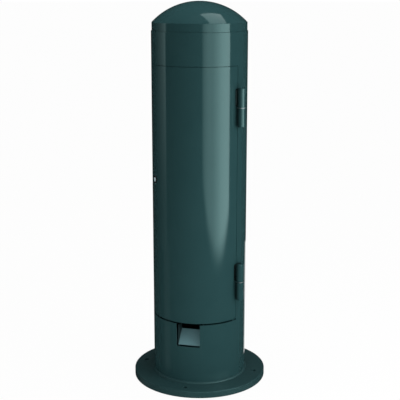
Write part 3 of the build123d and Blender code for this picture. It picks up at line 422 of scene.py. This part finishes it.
# %% weld at the foot of the tube
PLATE_TOP = 19.0
FOOT_LEG = 4.5


def foot_corner(along):
    """The corner between the tube and the plate, with its legs outwards and upwards."""
    angle = math.degrees(along / TUBE_RADIUS)
    return around(TUBE_RADIUS, angle, PLATE_TOP), around(1000, angle, 0), Vector((0, 0, 1))


bm = bmesh.new()
weld_bead(bm, foot_corner, 2 * math.pi * TUBE_RADIUS, FOOT_LEG, closed=True)
finish_piece("foot_weld", bm, plate_coat, "pedestal")

# %% [markdown]
# A hinge barrel stands on a narrow pad, and the pad is welded to the skin along its outer side
# with a short, thin bead. The two sleeves are welded to the door and the two posts to the tube,
# so there is one piece of welds for each body, and the door's beads swing with it.

# %% hinge welds
HINGE_ANGLE = 65.504
PAD_HALF_ANGLE = 3.57
PAD_LENGTH = 47.1
PAD_LEG = 2.2
# the height where the bead of each hinge starts, for each body and side of the hinge
pad_bottoms = {
    ("pedestal", 1): (767.0, 264.4),
    ("door", -1): (821.9, 319.3),
}
for (body, side), bottoms in pad_bottoms.items():
    pad_angle = HINGE_ANGLE + side * PAD_HALF_ANGLE
    outwards = around(1000, pad_angle, 0)
    sideways = around(1000, pad_angle + side * 90, 0)
    bm = bmesh.new()
    for bottom in bottoms:
        def pad_corner(along):
            """The corner between the hinge's pad and the skin."""
            return around(TUBE_RADIUS, pad_angle, bottom + along), sideways, outwards
        weld_bead(bm, pad_corner, PAD_LENGTH, PAD_LEG)
    # the welds take the hinges' coat and lie in its painted shade near the skin
    finish_piece(f"{body}_hinge_welds", bm, hinge_coat_painted_shade, body)

# %% [markdown]
# Screw heads. A pan head is pressed in a die, so its rim is round, and its drive is a recess
# with sloping walls. The solids have plain discs, which would look like rivets. Each head here
# is turned round its axis as a row of rings, and the gap between the last ring and the outline
# of the recess is filled with triangles. A cut with a boolean could do it too, but it leaves
# slivers. The shank goes with the head, so the new screws replace the old ones.

# %% turning
HEAD_SEGMENTS = 40


def turned(bm, x, z, profile, closed=False):
    """Rings round an axis along Y through x, z; the profile is (radius, y) pairs. All in mm."""
    rings = []
    for radius, y in profile:
        ring = []
        for i in range(HEAD_SEGMENTS):
            turn = 2 * math.pi * i / HEAD_SEGMENTS
            place = Vector((x + radius * math.cos(turn), y, z + radius * math.sin(turn)))
            ring.append(bm.verts.new(place * MM))
        rings.append(ring)
    pairs = list(zip(rings, rings[1:]))
    if closed:
        pairs.append((rings[-1], rings[0]))
    for one, two in pairs:
        join_loops(bm, one, two)
    return rings


print("a ring has", HEAD_SEGMENTS, "corners")

# %% a screw
# the head's outline, as shares of its diameter and of its height
HEAD_OUTLINE = ((0.5, 0.0), (0.5, 0.4), (0.47, 0.75), (0.42, 0.94), (0.37, 1.0))
RECESS_TAPER = 0.75


def loop_edges(bm, loop):
    """The edges round a loop of vertices, made where they are missing."""
    edges = []
    for i, vertex in enumerate(loop):
        following = loop[(i + 1) % len(loop)]
        edges.append(bm.edges.get((vertex, following)) or bm.edges.new((vertex, following)))
    return edges


def screw(bm, x, z, seat_y, head, head_height, shank, shank_length, recess, recess_depth):
    """A screw that faces -Y, with a recess whose outline is given as x, z pairs round its axis."""
    profile = [(shank / 2, seat_y + shank_length), (shank / 2, seat_y)]
    profile += [(out * head, seat_y - up * head_height) for out, up in HEAD_OUTLINE]
    rings = turned(bm, x, z, profile)
    bm.faces.new(rings[0])
    top_y = seat_y - head_height
    floor_y = top_y + recess_depth
    mouth = [bm.verts.new(Vector((x + across, top_y, z + up)) * MM) for across, up in recess]
    floor_loop = [
        bm.verts.new(Vector((x + RECESS_TAPER * across, floor_y, z + RECESS_TAPER * up)) * MM)
        for across, up in recess
    ]
    rim_edges = loop_edges(bm, rings[-1]) + loop_edges(bm, mouth)
    bmesh.ops.triangle_fill(bm, use_beauty=True, edges=rim_edges)
    join_loops(bm, mouth, floor_loop)
    bm.faces.new(floor_loop)


def cross_outline(reach, half_width):
    """The twelve corners of a cross."""
    corners = []
    for quarter in range(4):
        turn = math.radians(90 * quarter)
        for across, up in ((half_width, -half_width), (reach, -half_width), (reach, half_width)):
            corners.append((across * math.cos(turn) - up * math.sin(turn),
                            across * math.sin(turn) + up * math.cos(turn)))
    return corners


print("a head has", len(HEAD_OUTLINE), "rings")

# %% [markdown]
# The panels are held to the rails by pan heads with a cross recess. Wall plates and receptacles
# are held by smaller screws, which by custom have a single slot.

# %% cross-head screws of the panels
PANEL_FRONT = -40.0
PANEL_SCREW_X = 102.7
PANEL_SCREW_HEIGHTS = (881.9, 688.9, 495.9, 443.9, 327.9)
PANEL_SCREW = {
    "head": 9.6,
    "head_height": 2.6,
    "shank": 5.0,
    "shank_length": 7.0,
    "recess": cross_outline(2.6, 0.55),
    "recess_depth": 1.7,
}
bm = bmesh.new()
for height in PANEL_SCREW_HEIGHTS:
    for x in (-PANEL_SCREW_X, PANEL_SCREW_X):
        screw(bm, x, height, PANEL_FRONT, **PANEL_SCREW)
panel_heads = finish_piece("cross_head_screws", bm, stainless, "pedestal")
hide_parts("panel_screws")

# %% slotted screws of the devices
RECEPTACLE_Z = 740.9
OUTLET_Z = 601.9
DEVICE_X = 48.0
COVER_FRONT = -44.0
DEVICE_SCREW = {
    "head": 7.0,
    "head_height": 1.8,
    "shank": 3.6,
    "shank_length": 9.0,
    "recess": [(-2.3, -0.4), (2.3, -0.4), (2.3, 0.4), (-2.3, 0.4)],
    "recess_depth": 1.0,
}
# across, middle, distance of the two screws from it, seat
device_seats = (
    (-DEVICE_X, RECEPTACLE_Z, 35.0, PANEL_FRONT),
    (DEVICE_X, RECEPTACLE_Z, 30.0, PANEL_FRONT),
    (-DEVICE_X, OUTLET_Z, 48.5, COVER_FRONT),
    (DEVICE_X, OUTLET_Z, 48.5, COVER_FRONT),
)
bm = bmesh.new()
for x, middle, distance, seat_y in device_seats:
    for side in (-1, 1):
        screw(bm, x, middle + side * distance, seat_y, **DEVICE_SCREW)
device_heads = finish_piece("slotted_screws", bm, stainless, "pedestal")
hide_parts("device_screws")

# %% [markdown]
# Contacts. Behind each slot of an outlet two sprung leaves wait for the blade, and their flared
# mouths give a thin metal glint in the dark slot. A leaf is a bent strip, so its edge outline is
# drawn once and extruded along the slot. A round hole has a sleeve, turned like the screws.

# %% leaves and sleeves
LEAF_SHEET = 0.35
LEAF_END_GAP = 0.4
SLEEVE_SHEET = 0.4
SLEEVE_GAP = 0.05
# shares of the slot's width, from its middle
MOUTH_SHARE = 0.46
FLARE_SHARE = 0.02
THROAT_SHARE = 0.28
# depths behind the face
MOUTH_DEPTH = 1.0
SLEEVE_DEPTH = 1.2
FLARE_DEPTH = 1.6
THROAT_DEPTH = 3.5
CONTACT_END = 12.0


def leaf_pair(bm, x, z, front_y, width, length, turn=0.0):
    """Two leaves in a slot of that width and length in mm, turned in degrees seen from the front."""
    across = Vector((math.cos(math.radians(turn)), 0, math.sin(math.radians(turn))))
    along = Vector((-across.z, 0, across.x))
    centre = Vector((x, 0, z))
    mouth = MOUTH_SHARE * width
    throat = THROAT_SHARE * width
    outline = (
        (mouth, front_y + MOUTH_DEPTH),
        (throat, front_y + THROAT_DEPTH),
        (throat, front_y + CONTACT_END),
        (throat + LEAF_SHEET, front_y + CONTACT_END),
        (throat + LEAF_SHEET, front_y + THROAT_DEPTH),
        (mouth + FLARE_SHARE * width, front_y + FLARE_DEPTH),
    )
    for side in (-1, 1):
        ends = []
        for end in (-1, 1):
            edge = along * end * (length / 2 - LEAF_END_GAP)
            ends.append([bm.verts.new((centre + across * side * offset + edge + Vector((0, y, 0))) * MM)
                         for offset, y in outline])
        bm.faces.new(ends[0])
        bm.faces.new(ends[1])
        join_loops(bm, *ends)


def ground_socket(bm, x, z, front_y, hole_radius):
    """A plain sleeve just inside a round hole."""
    outer = hole_radius - SLEEVE_GAP
    inner = outer - SLEEVE_SHEET
    turned(bm, x, z, (
        (outer, front_y + SLEEVE_DEPTH),
        (outer, front_y + CONTACT_END),
        (inner, front_y + CONTACT_END),
        (inner, front_y + FLARE_DEPTH),
    ), closed=True)


print("contacts reach", CONTACT_END, "mm behind the face")

# %% contacts in the slots
RECEPTACLE_FRONT = -43.0
LARGE_SLOT_OFFSET = 12.5
ROUND_SLOT_OFFSET = 8.5
GROUND_OFFSET = 14.0
GROUND_RADIUS = 3.5
bm = bmesh.new()
# the large receptacle has three straight slots, the round one two slanted ones
for side in (-1, 1):
    large_x = -DEVICE_X + side * LARGE_SLOT_OFFSET
    leaf_pair(bm, large_x, RECEPTACLE_Z, RECEPTACLE_FRONT, width=2.6, length=18.0)
    round_x = DEVICE_X + side * ROUND_SLOT_OFFSET
    leaf_pair(bm, round_x, RECEPTACLE_Z, RECEPTACLE_FRONT, width=2.2, length=10.0, turn=side * 45.0)
leaf_pair(bm, -DEVICE_X, RECEPTACLE_Z - GROUND_OFFSET, RECEPTACLE_FRONT, width=2.6, length=12.0)
ground_socket(bm, -DEVICE_X, RECEPTACLE_Z + GROUND_OFFSET, RECEPTACLE_FRONT, GROUND_RADIUS)
ground_socket(bm, DEVICE_X, RECEPTACLE_Z - GROUND_OFFSET, RECEPTACLE_FRONT, GROUND_RADIUS)

# each twin outlet has two sockets of two slots and a round hole
OUTLET_FRONT = -45.5
SOCKET_OFFSET = 19.5
BLADE_OFFSET = 6.35
BLADE_RISE = 3.0
PIN_DROP = 6.0
PIN_RADIUS = 2.4
for x in (-DEVICE_X, DEVICE_X):
    for socket_z in (OUTLET_Z - SOCKET_OFFSET, OUTLET_Z + SOCKET_OFFSET):
        for side in (-1, 1):
            blade_x = x + side * BLADE_OFFSET
            leaf_pair(bm, blade_x, socket_z + BLADE_RISE, OUTLET_FRONT, width=2.0, length=7.5)
        ground_socket(bm, x, socket_z - PIN_DROP, OUTLET_FRONT, PIN_RADIUS)
finish_piece("contacts", bm, tinned, "pedestal")

# %% [markdown]
# The face of a receptacle is moulded with a raised rim, which guards its edge against the plug
# and catches a ring of light. It is turned like the screws, from six corners of its section.

# %% rims of the receptacles
RIM_SECTION = ((0.0, 0.3), (0.0, -0.6), (0.4, -1.0), (1.3, -1.0), (1.9, -0.4), (2.1, 0.3))
FACE_RADII = {-DEVICE_X: 27.0, DEVICE_X: 22.0}
bm = bmesh.new()
for x, face_radius in FACE_RADII.items():
    profile = [(face_radius - inset, RECEPTACLE_FRONT + depth) for inset, depth in RIM_SECTION]
    turned(bm, x, RECEPTACLE_Z, profile, closed=True)
finish_piece("receptacle_rims", bm, black_moulding, "pedestal")

# %% [markdown]
# Breakers. Each toggle has three cross ribs that give the finger a hold. A rib is half a round
# bar, so it is an arch of a few steps that is extruded across the lever. The ribs ride on their
# toggle and swing with it.

# %% ribs on the toggles
HUB_Y = -42.0
BREAKER_Z = 851.9
LEVER_RISE = 34.0
LEVER_HALF_THICKNESS = 2.3
RIB_RADIUS = 0.55
RIB_SINK = 0.1
RIB_END_GAP = 0.7
RIB_DISTANCES = (7.4, 9.2, 11.0)
# middle and width of each toggle
toggle_places = {"large": (-27.0, 26.0), "round": (0.0, 8.0), "left": (18.0, 8.0), "right": (36.0, 8.0)}

lever = Vector((0, -math.cos(math.radians(LEVER_RISE)), math.sin(math.radians(LEVER_RISE))))
face_out = Vector((0, -lever.z, lever.y))
arch_turns = [math.radians(degrees) for degrees in range(0, 181, 30)]
for toggle, (x, span) in toggle_places.items():
    bm = bmesh.new()
    for distance in RIB_DISTANCES:
        hub = Vector((x, HUB_Y, BREAKER_Z))
        foot = hub + lever * distance + face_out * (LEVER_HALF_THICKNESS - RIB_SINK)
        ends = []
        for side in (-1, 1):
            edge = Vector((side * (span / 2 - RIB_END_GAP), 0, 0))
            ends.append([bm.verts.new((foot + edge + lever * RIB_RADIUS * math.cos(turn)
                                       + face_out * RIB_RADIUS * math.sin(turn)) * MM)
                         for turn in arch_turns])
        bm.faces.new(ends[0])
        bm.faces.new(ends[1])
        join_loops(bm, *ends)
    finish_piece(f"{toggle}_toggle_ribs", bm, grey_moulding, f"{toggle}_toggle")

# %% [markdown]
# Under its toggle each breaker has a small red flag window with rounded corners. It could be a
# coloured patch, but a raised window catches the light at its edge. It is a thin plate whose
# four short edges are bevelled.

# %% flag windows
BREAKER_FRONT = -45.0
FLAG_WIDTH = 6.4
FLAG_HEIGHT = 2.8
FLAG_DROP = 13.5
FLAG_SINK = 0.2
FLAG_THICKNESS = 0.55
FLAG_CORNER = 0.6
STAND_UP = Matrix.Rotation(math.radians(90), 3, "X")
bm = bmesh.new()
for x, _ in toggle_places.values():
    window = bmesh.ops.create_grid(bm, x_segments=1, y_segments=1, size=0.5)["verts"]
    bmesh.ops.scale(bm, verts=window, vec=(FLAG_WIDTH * MM, FLAG_HEIGHT * MM, 1))
    bmesh.ops.rotate(bm, verts=window, matrix=STAND_UP)
    window_place = Vector((x, BREAKER_FRONT + FLAG_SINK, BREAKER_Z - FLAG_DROP))
    bmesh.ops.translate(bm, verts=window, vec=window_place * MM)
extruded = bmesh.ops.extrude_face_region(bm, geom=bm.faces[:])["geom"]
front = [v for v in extruded if isinstance(v, bmesh.types.BMVert)]
bmesh.ops.translate(bm, verts=front, vec=(0, -FLAG_THICKNESS * MM, 0))
short = [e for e in bm.edges if abs(e.verts[0].co.y - e.verts[1].co.y) > 0.1 * MM]
bmesh.ops.bevel(bm, geom=short, offset=FLAG_CORNER * MM, affect="EDGES", segments=3, profile=0.5,
                material=-1)
finish_piece("flag_windows", bm, red_moulding, "pedestal")

# %% [markdown]
# The studio. A glossy tube shows whatever stands around it, so the light is shaped the way a
# photographer shapes it for bottles: one tall soft box to the right, a small one overhead, a
# weak strip to the left, cards near the object, and dark cloth all round, which only reflections
# see. The world is white to the camera, and lights the object with the same white, only weaker.

# %% world
WORLD_LIGHT = 0.6

world = bpy.data.worlds.new("studio")
bpy.context.scene.world = world
world.use_nodes = True
tree = world.node_tree
tree.nodes.clear()
path = add_node(tree, "ShaderNodeLightPath")
seen = calculate(tree, "MAXIMUM", path.outputs["Is Camera Ray"], path.outputs["Is Glossy Ray"])
seen = calculate(tree, "MAXIMUM", seen, path.outputs["Is Transmission Ray"])
level = add_node(tree, "ShaderNodeMapRange", {"Value": seen, "To Min": WORLD_LIGHT, "To Max": 1.0})
background = add_node(
    tree, "ShaderNodeBackground", {"Color": linear("#FFFFFF"), "Strength": level.outputs[0]},
)
output = add_node(tree, "ShaderNodeOutputWorld")
tree.links.new(background.outputs[0], output.inputs["Surface"])
print("the world lights with", WORLD_LIGHT)

# %% [markdown]
# The floor is white to the camera too. It is a matt sheet that glows just enough to vanish in
# the white, and what is left of the matt part keeps a little of the object's shadow. Under the
# anchor plate it doesn't glow, so the cable opening and the anchor holes stay dark.

# %% floor
FLOOR_RADIUS = 60.0
GLOW_SHARE = 0.965
COVERED_RADIUS = 190.0


def stage_piece(name, bm, material):
    """A studio piece that isn't part of the object."""
    mesh = bpy.data.meshes.new(name)
    bm.to_mesh(mesh)
    bm.free()
    piece = new_object(name, mesh)
    mesh.materials.append(material)
    return piece


floor_paint = bpy.data.materials.new("matt white floor")
floor_paint.use_nodes = True
tree = floor_paint.node_tree
tree.nodes.clear()
path = add_node(tree, "ShaderNodeLightPath")
glow_share = calculate(tree, "MULTIPLY", path.outputs["Is Camera Ray"], GLOW_SHARE)
place = add_node(tree, "ShaderNodeTexCoord")
reach = add_node(tree, "ShaderNodeVectorMath", {0: place.outputs["Object"]}, operation="LENGTH")
open_floor = calculate(tree, "GREATER_THAN", reach.outputs["Value"], COVERED_RADIUS * MM)
glow_share = calculate(tree, "MULTIPLY", glow_share, open_floor)
matt = add_node(tree, "ShaderNodeBsdfDiffuse", {"Color": linear("#E6E6E4")})
white = add_node(tree, "ShaderNodeEmission", {"Color": linear("#FFFFFF"), "Strength": 1.0})
mix = add_node(tree, "ShaderNodeMixShader", {0: glow_share, 1: matt.outputs[0], 2: white.outputs[0]})
output = add_node(tree, "ShaderNodeOutputMaterial")
tree.links.new(mix.outputs[0], output.inputs["Surface"])
bm = bmesh.new()
bmesh.ops.create_circle(bm, cap_ends=True, segments=96, radius=FLOOR_RADIUS)
stage_piece("floor", bm, floor_paint)
print("floor radius", FLOOR_RADIUS, "m")

# %% [markdown]
# Dark cloth hangs all round, so that the tube reflects dark where no soft box stands. It is a
# sphere, cut off at the floor and closed there by a flat sheet just above it. The camera, the
# shadows and the soft light don't see it.

# %% dark cloth that only reflections see
CLOTH_LEVEL = 0.012
CLOTH_RADIUS = 4.0
CLOTH_LIFT = 0.4


def light_paint(name, strength, colour="#FFFFFF"):
    """A glowing material."""
    material = bpy.data.materials.new(name)
    material.use_nodes = True
    tree = material.node_tree
    tree.nodes.clear()
    glow = add_node(tree, "ShaderNodeEmission", {"Color": linear(colour), "Strength": strength})
    output = add_node(tree, "ShaderNodeOutputMaterial")
    tree.links.new(glow.outputs[0], output.inputs["Surface"])
    return material, tree, glow


def only_reflections(piece, lights=False):
    """The camera doesn't see the piece; a soft box still lights the object, cloth doesn't."""
    piece.visible_camera = False
    piece.visible_shadow = False
    piece.visible_diffuse = lights
    piece.visible_transmission = lights


bm = bmesh.new()
bmesh.ops.create_uvsphere(bm, u_segments=48, v_segments=24, radius=CLOTH_RADIUS)
cut = bmesh.ops.bisect_plane(
    bm, geom=bm.verts[:] + bm.edges[:] + bm.faces[:], plane_co=(0, 0, CLOTH_LIFT * MM),
    plane_no=(0, 0, -1), clear_outer=True,
)
cut_edges = [e for e in cut["geom_cut"] if isinstance(e, bmesh.types.BMEdge)]
bmesh.ops.contextual_create(bm, geom=cut_edges)
cloth = stage_piece("dark_cloth", bm, light_paint("dark studio cloth", CLOTH_LEVEL)[0])
only_reflections(cloth)
print("cloth radius", CLOTH_RADIUS, "m")

# %% [markdown]
# A soft box is a lamp behind a sheet of cloth, so it is brightest near its lamp and fades to its
# edges. An area lamp has none of that. So each box here is a glowing rectangle, and the glow of
# the two tall ones is the product of a share across the box and a share up it.

# %% helpers for soft boxes
def panel(name, low, high, material):
    """A flat rectangle between two corners in its own x and z, facing +Y."""
    bm = bmesh.new()
    bmesh.ops.create_grid(bm, x_segments=1, y_segments=1, size=0.5)
    bmesh.ops.rotate(bm, verts=bm.verts, matrix=STAND_UP)
    bmesh.ops.scale(bm, verts=bm.verts, vec=(high[0] - low[0], 1, high[1] - low[1]))
    bmesh.ops.translate(bm, verts=bm.verts, vec=((low[0] + high[0]) / 2, 0, (low[1] + high[1]) / 2))
    return stage_piece(name, bm, material)


def shape_glow(tree, glow, across_share, up_share, strength):
    """Lets the product of two shares scale how strongly a light glows."""
    both = calculate(tree, "MULTIPLY", across_share, up_share)
    scaled = calculate(tree, "MULTIPLY", both, strength)
    tree.links.new(scaled, glow.inputs["Strength"])


print("soft boxes are shaped across and up")

# %% [markdown]
# The tall soft box stands to the right of the camera and draws the broad highlight down the
# tube. Its lamp stands near its right edge, so the cloth is brightest there and the highlight
# fades to the left. Its foot is round, so the highlight ends in a curve above the plate.

# %% tall soft box
CAMERA_ANGLE = 14.5
KEY_ANGLE = CAMERA_ANGLE + 44.0
KEY_DISTANCE = 1200.0
KEY_LOW = (-0.94, 0.0)
KEY_HIGH = (0.66, 1.35)
KEY_STRENGTH = 4.3
# the share of the glow at each place across the box, from its left edge to its right one
KEY_PROFILE = {
    0.0: 0.08, 0.1: 0.27, 0.25: 0.41, 0.4: 0.44,
    0.53: 0.64, 0.68: 0.91, 0.83: 0.97, 1.0: 0.89,
}
# the foot of the box curves up from its middle, and fades out between two heights in metres
FOOT_CURVE = -0.3
FOOT_DARK = 0.015
FOOT_FULL = 0.165

key_paint, tree, glow = light_paint("tall soft box", KEY_STRENGTH)
place = add_node(tree, "ShaderNodeTexCoord")
axes = add_node(tree, "ShaderNodeSeparateXYZ", {0: place.outputs["Object"]})
across = add_node(
    tree, "ShaderNodeMapRange",
    {"Value": axes.outputs["X"], "From Min": KEY_LOW[0], "From Max": KEY_HIGH[0]},
)
ramp = add_node(tree, "ShaderNodeValToRGB", {"Fac": across.outputs[0]})
while len(ramp.color_ramp.elements) < len(KEY_PROFILE):
    ramp.color_ramp.elements.new(1.0)
for element, (position, value) in zip(ramp.color_ramp.elements, KEY_PROFILE.items()):
    element.position = position
    element.color = (value, value, value, 1)
square = calculate(tree, "POWER", axes.outputs["X"], 2.0)
above_foot = calculate(tree, "MULTIPLY_ADD", square, FOOT_CURVE, axes.outputs["Z"])
fade = add_node(
    tree, "ShaderNodeMapRange", {"Value": above_foot, "From Min": FOOT_DARK, "From Max": FOOT_FULL},
    interpolation_type="SMOOTHSTEP",
)
shape_glow(tree, glow, ramp.outputs["Color"], fade.outputs[0], KEY_STRENGTH)
key_box = panel("tall_soft_box", KEY_LOW, KEY_HIGH, key_paint)
key_box.location = around(KEY_DISTANCE, KEY_ANGLE, 0)
key_box.rotation_euler.z = math.radians(KEY_ANGLE)
only_reflections(key_box, lights=True)
print(key_box.name, "at", KEY_ANGLE, "degrees")

# %% [markdown]
# The overhead box stands a little behind the object and to its right, and makes the small bright
# patch on the dome. The weak strip to the left draws a faint line down the tube, brightest at
# its top right.

# %% overhead box and left strip
TOP_STRENGTH = 1.88
TOP_HALF_X = 0.41
TOP_HALF_Z = 0.36
TOP_PLACE = (0.461, 0.439, 2.6)
TOP_TURN = 49.3
top_paint = light_paint("overhead soft box", TOP_STRENGTH)[0]
top_box = panel("overhead_soft_box", (-TOP_HALF_X, -TOP_HALF_Z), (TOP_HALF_X, TOP_HALF_Z), top_paint)
top_box.location = TOP_PLACE
top_box.rotation_euler = (math.radians(90), 0, math.radians(TOP_TURN))
only_reflections(top_box, lights=True)

STRIP_ANGLE = CAMERA_ANGLE - 108
STRIP_DISTANCE = 1500
STRIP_HALF = 0.66
STRIP_HEIGHT = 2.2
STRIP_STRENGTH = 1.1
# the glow rises from the left edge to the right one, and between two heights in metres
STRIP_LEFT_SHARE = 0.35
STRIP_STEEPNESS = 5.0
STRIP_LOW_SHARE = 0.2
STRIP_LOW_HEIGHT = 0.2
STRIP_FULL_HEIGHT = 0.9
strip_paint, tree, glow = light_paint("weak strip light", STRIP_STRENGTH)
place = add_node(tree, "ShaderNodeTexCoord")
axes = add_node(tree, "ShaderNodeSeparateXYZ", {0: place.outputs["Object"]})
across = add_node(
    tree, "ShaderNodeMapRange",
    {"Value": axes.outputs["X"], "From Min": -STRIP_HALF, "From Max": STRIP_HALF,
     "To Min": STRIP_LEFT_SHARE, "To Max": 1.0},
)
steep = calculate(tree, "POWER", across.outputs[0], STRIP_STEEPNESS)
up = add_node(
    tree, "ShaderNodeMapRange",
    {"Value": axes.outputs["Z"], "From Min": STRIP_LOW_HEIGHT, "From Max": STRIP_FULL_HEIGHT,
     "To Min": STRIP_LOW_SHARE, "To Max": 1.0},
)
shape_glow(tree, glow, steep, up.outputs[0], STRIP_STRENGTH)
strip_box = panel("left_strip", (-STRIP_HALF, 0.0), (STRIP_HALF, STRIP_HEIGHT), strip_paint)
strip_box.location = around(STRIP_DISTANCE, STRIP_ANGLE, 0)
strip_box.rotation_euler.z = math.radians(STRIP_ANGLE)
only_reflections(strip_box, lights=True)
print(top_box.name, "and", strip_box.name)

# %% [markdown]
# Cards. Two cards on the floor carry both side reflections down to the foot of the tube. The
# lock's flat plug is seen at a grazing angle, so what it reflects stands on the far side. A
# card there makes it glint, and is kept small so that it lights up nothing else.

# %% cards
CARD_LIFT = 0.6


def floor_card(name, corners, strength):
    """A card flat on the floor. Its corners are distances in mm and angles from the camera's side."""
    bm = bmesh.new()
    bm.faces.new([bm.verts.new(around(radius, CAMERA_ANGLE + angle, CARD_LIFT))
                  for radius, angle in corners])
    card = stage_piece(name, bm, light_paint(name + " paint", strength)[0])
    only_reflections(card)


right_corners = ((154, 97.4), (1532, 153.0), (1509, 172.8), (146, 109.2))
left_corners = ((140, -39.3), (1608, -75.5), (1593, -94.9), (140, -49.3))
floor_card("right_card", right_corners, strength=1.0)
floor_card("left_card", left_corners, strength=0.12)

LOCK_PLACE = Vector((-108.2, -83.3, 608.0)) * MM
LOCK_CARD_WAY = Vector((-0.829, 0.520, -0.205))
LOCK_CARD_DISTANCE = 0.6
LOCK_CARD_TURN = -122.1
LOCK_CARD_LOW = (-0.024, -0.014)
LOCK_CARD_HIGH = (0.024, 0.012)
lock_paint = light_paint("lock card paint", strength=0.85, colour="#D8F4FF")[0]
lock_card = panel("lock_card", LOCK_CARD_LOW, LOCK_CARD_HIGH, lock_paint)
lock_card.location = LOCK_PLACE + LOCK_CARD_WAY * LOCK_CARD_DISTANCE
lock_card.rotation_euler.z = math.radians(LOCK_CARD_TURN)
only_reflections(lock_card)
print("cards: right, left and", lock_card.name)

# %% [markdown]
# Two lamps fill what the boxes leave dark. A low one in front stands for the light that a white
# studio floor throws up at the foot, and one above the cap lights the dome. Reflections don't
# show them.

# %% lamps
LAMP_SIZE = 0.5
FOOT_LAMP_ANGLE = CAMERA_ANGLE - 5
FOOT_LAMP_TIP = 85
DOME_LAMP_HEIGHT = 1850.0


def round_lamp(name, energy, location, rotation=(0, 0, 0)):
    """A round lamp that shows in no reflection."""
    data = bpy.data.lights.new(name, "AREA")
    data.shape = "DISK"
    data.size = LAMP_SIZE
    data.energy = energy
    lamp = new_object(name, data)
    lamp.location = location
    lamp.rotation_euler = rotation
    lamp.visible_glossy = False
    print(name, "at", tuple(round(c, 3) for c in lamp.location))


round_lamp(
    "foot_lamp", energy=0.9, location=around(800, FOOT_LAMP_ANGLE, 180),
    rotation=(math.radians(FOOT_LAMP_TIP), 0, math.radians(FOOT_LAMP_ANGLE)),
)
round_lamp("dome_lamp", energy=6.5, location=around(0, 0, DOME_LAMP_HEIGHT))

# %% [markdown]
# The camera stands where the photograph's did: about 2.6 m away, to the right of the front, a
# little above the cap and tipped down by 13 degrees. A long lens keeps the tube nearly straight,
# and what taper is left is the real perspective. No shift is needed.

# %% camera
CAMERA_DISTANCE = 2644.6
CAMERA_HEIGHT = 1151.7
CAMERA_TIP = 13.13
CAMERA_TURN = 0.03
LENS = 83.54

camera_data = bpy.data.cameras.new("camera")
camera_data.lens = LENS
camera_data.sensor_width = 36.0
camera = new_object("camera", camera_data)
camera.location = around(CAMERA_DISTANCE, CAMERA_ANGLE, CAMERA_HEIGHT)
camera.rotation_euler = (math.radians(90 - CAMERA_TIP), 0, math.radians(CAMERA_ANGLE - CAMERA_TURN))
bpy.context.scene.camera = camera
bpy.context.scene.view_settings.view_transform = "Standard"
print("camera at", tuple(round(c, 3) for c in camera.location))
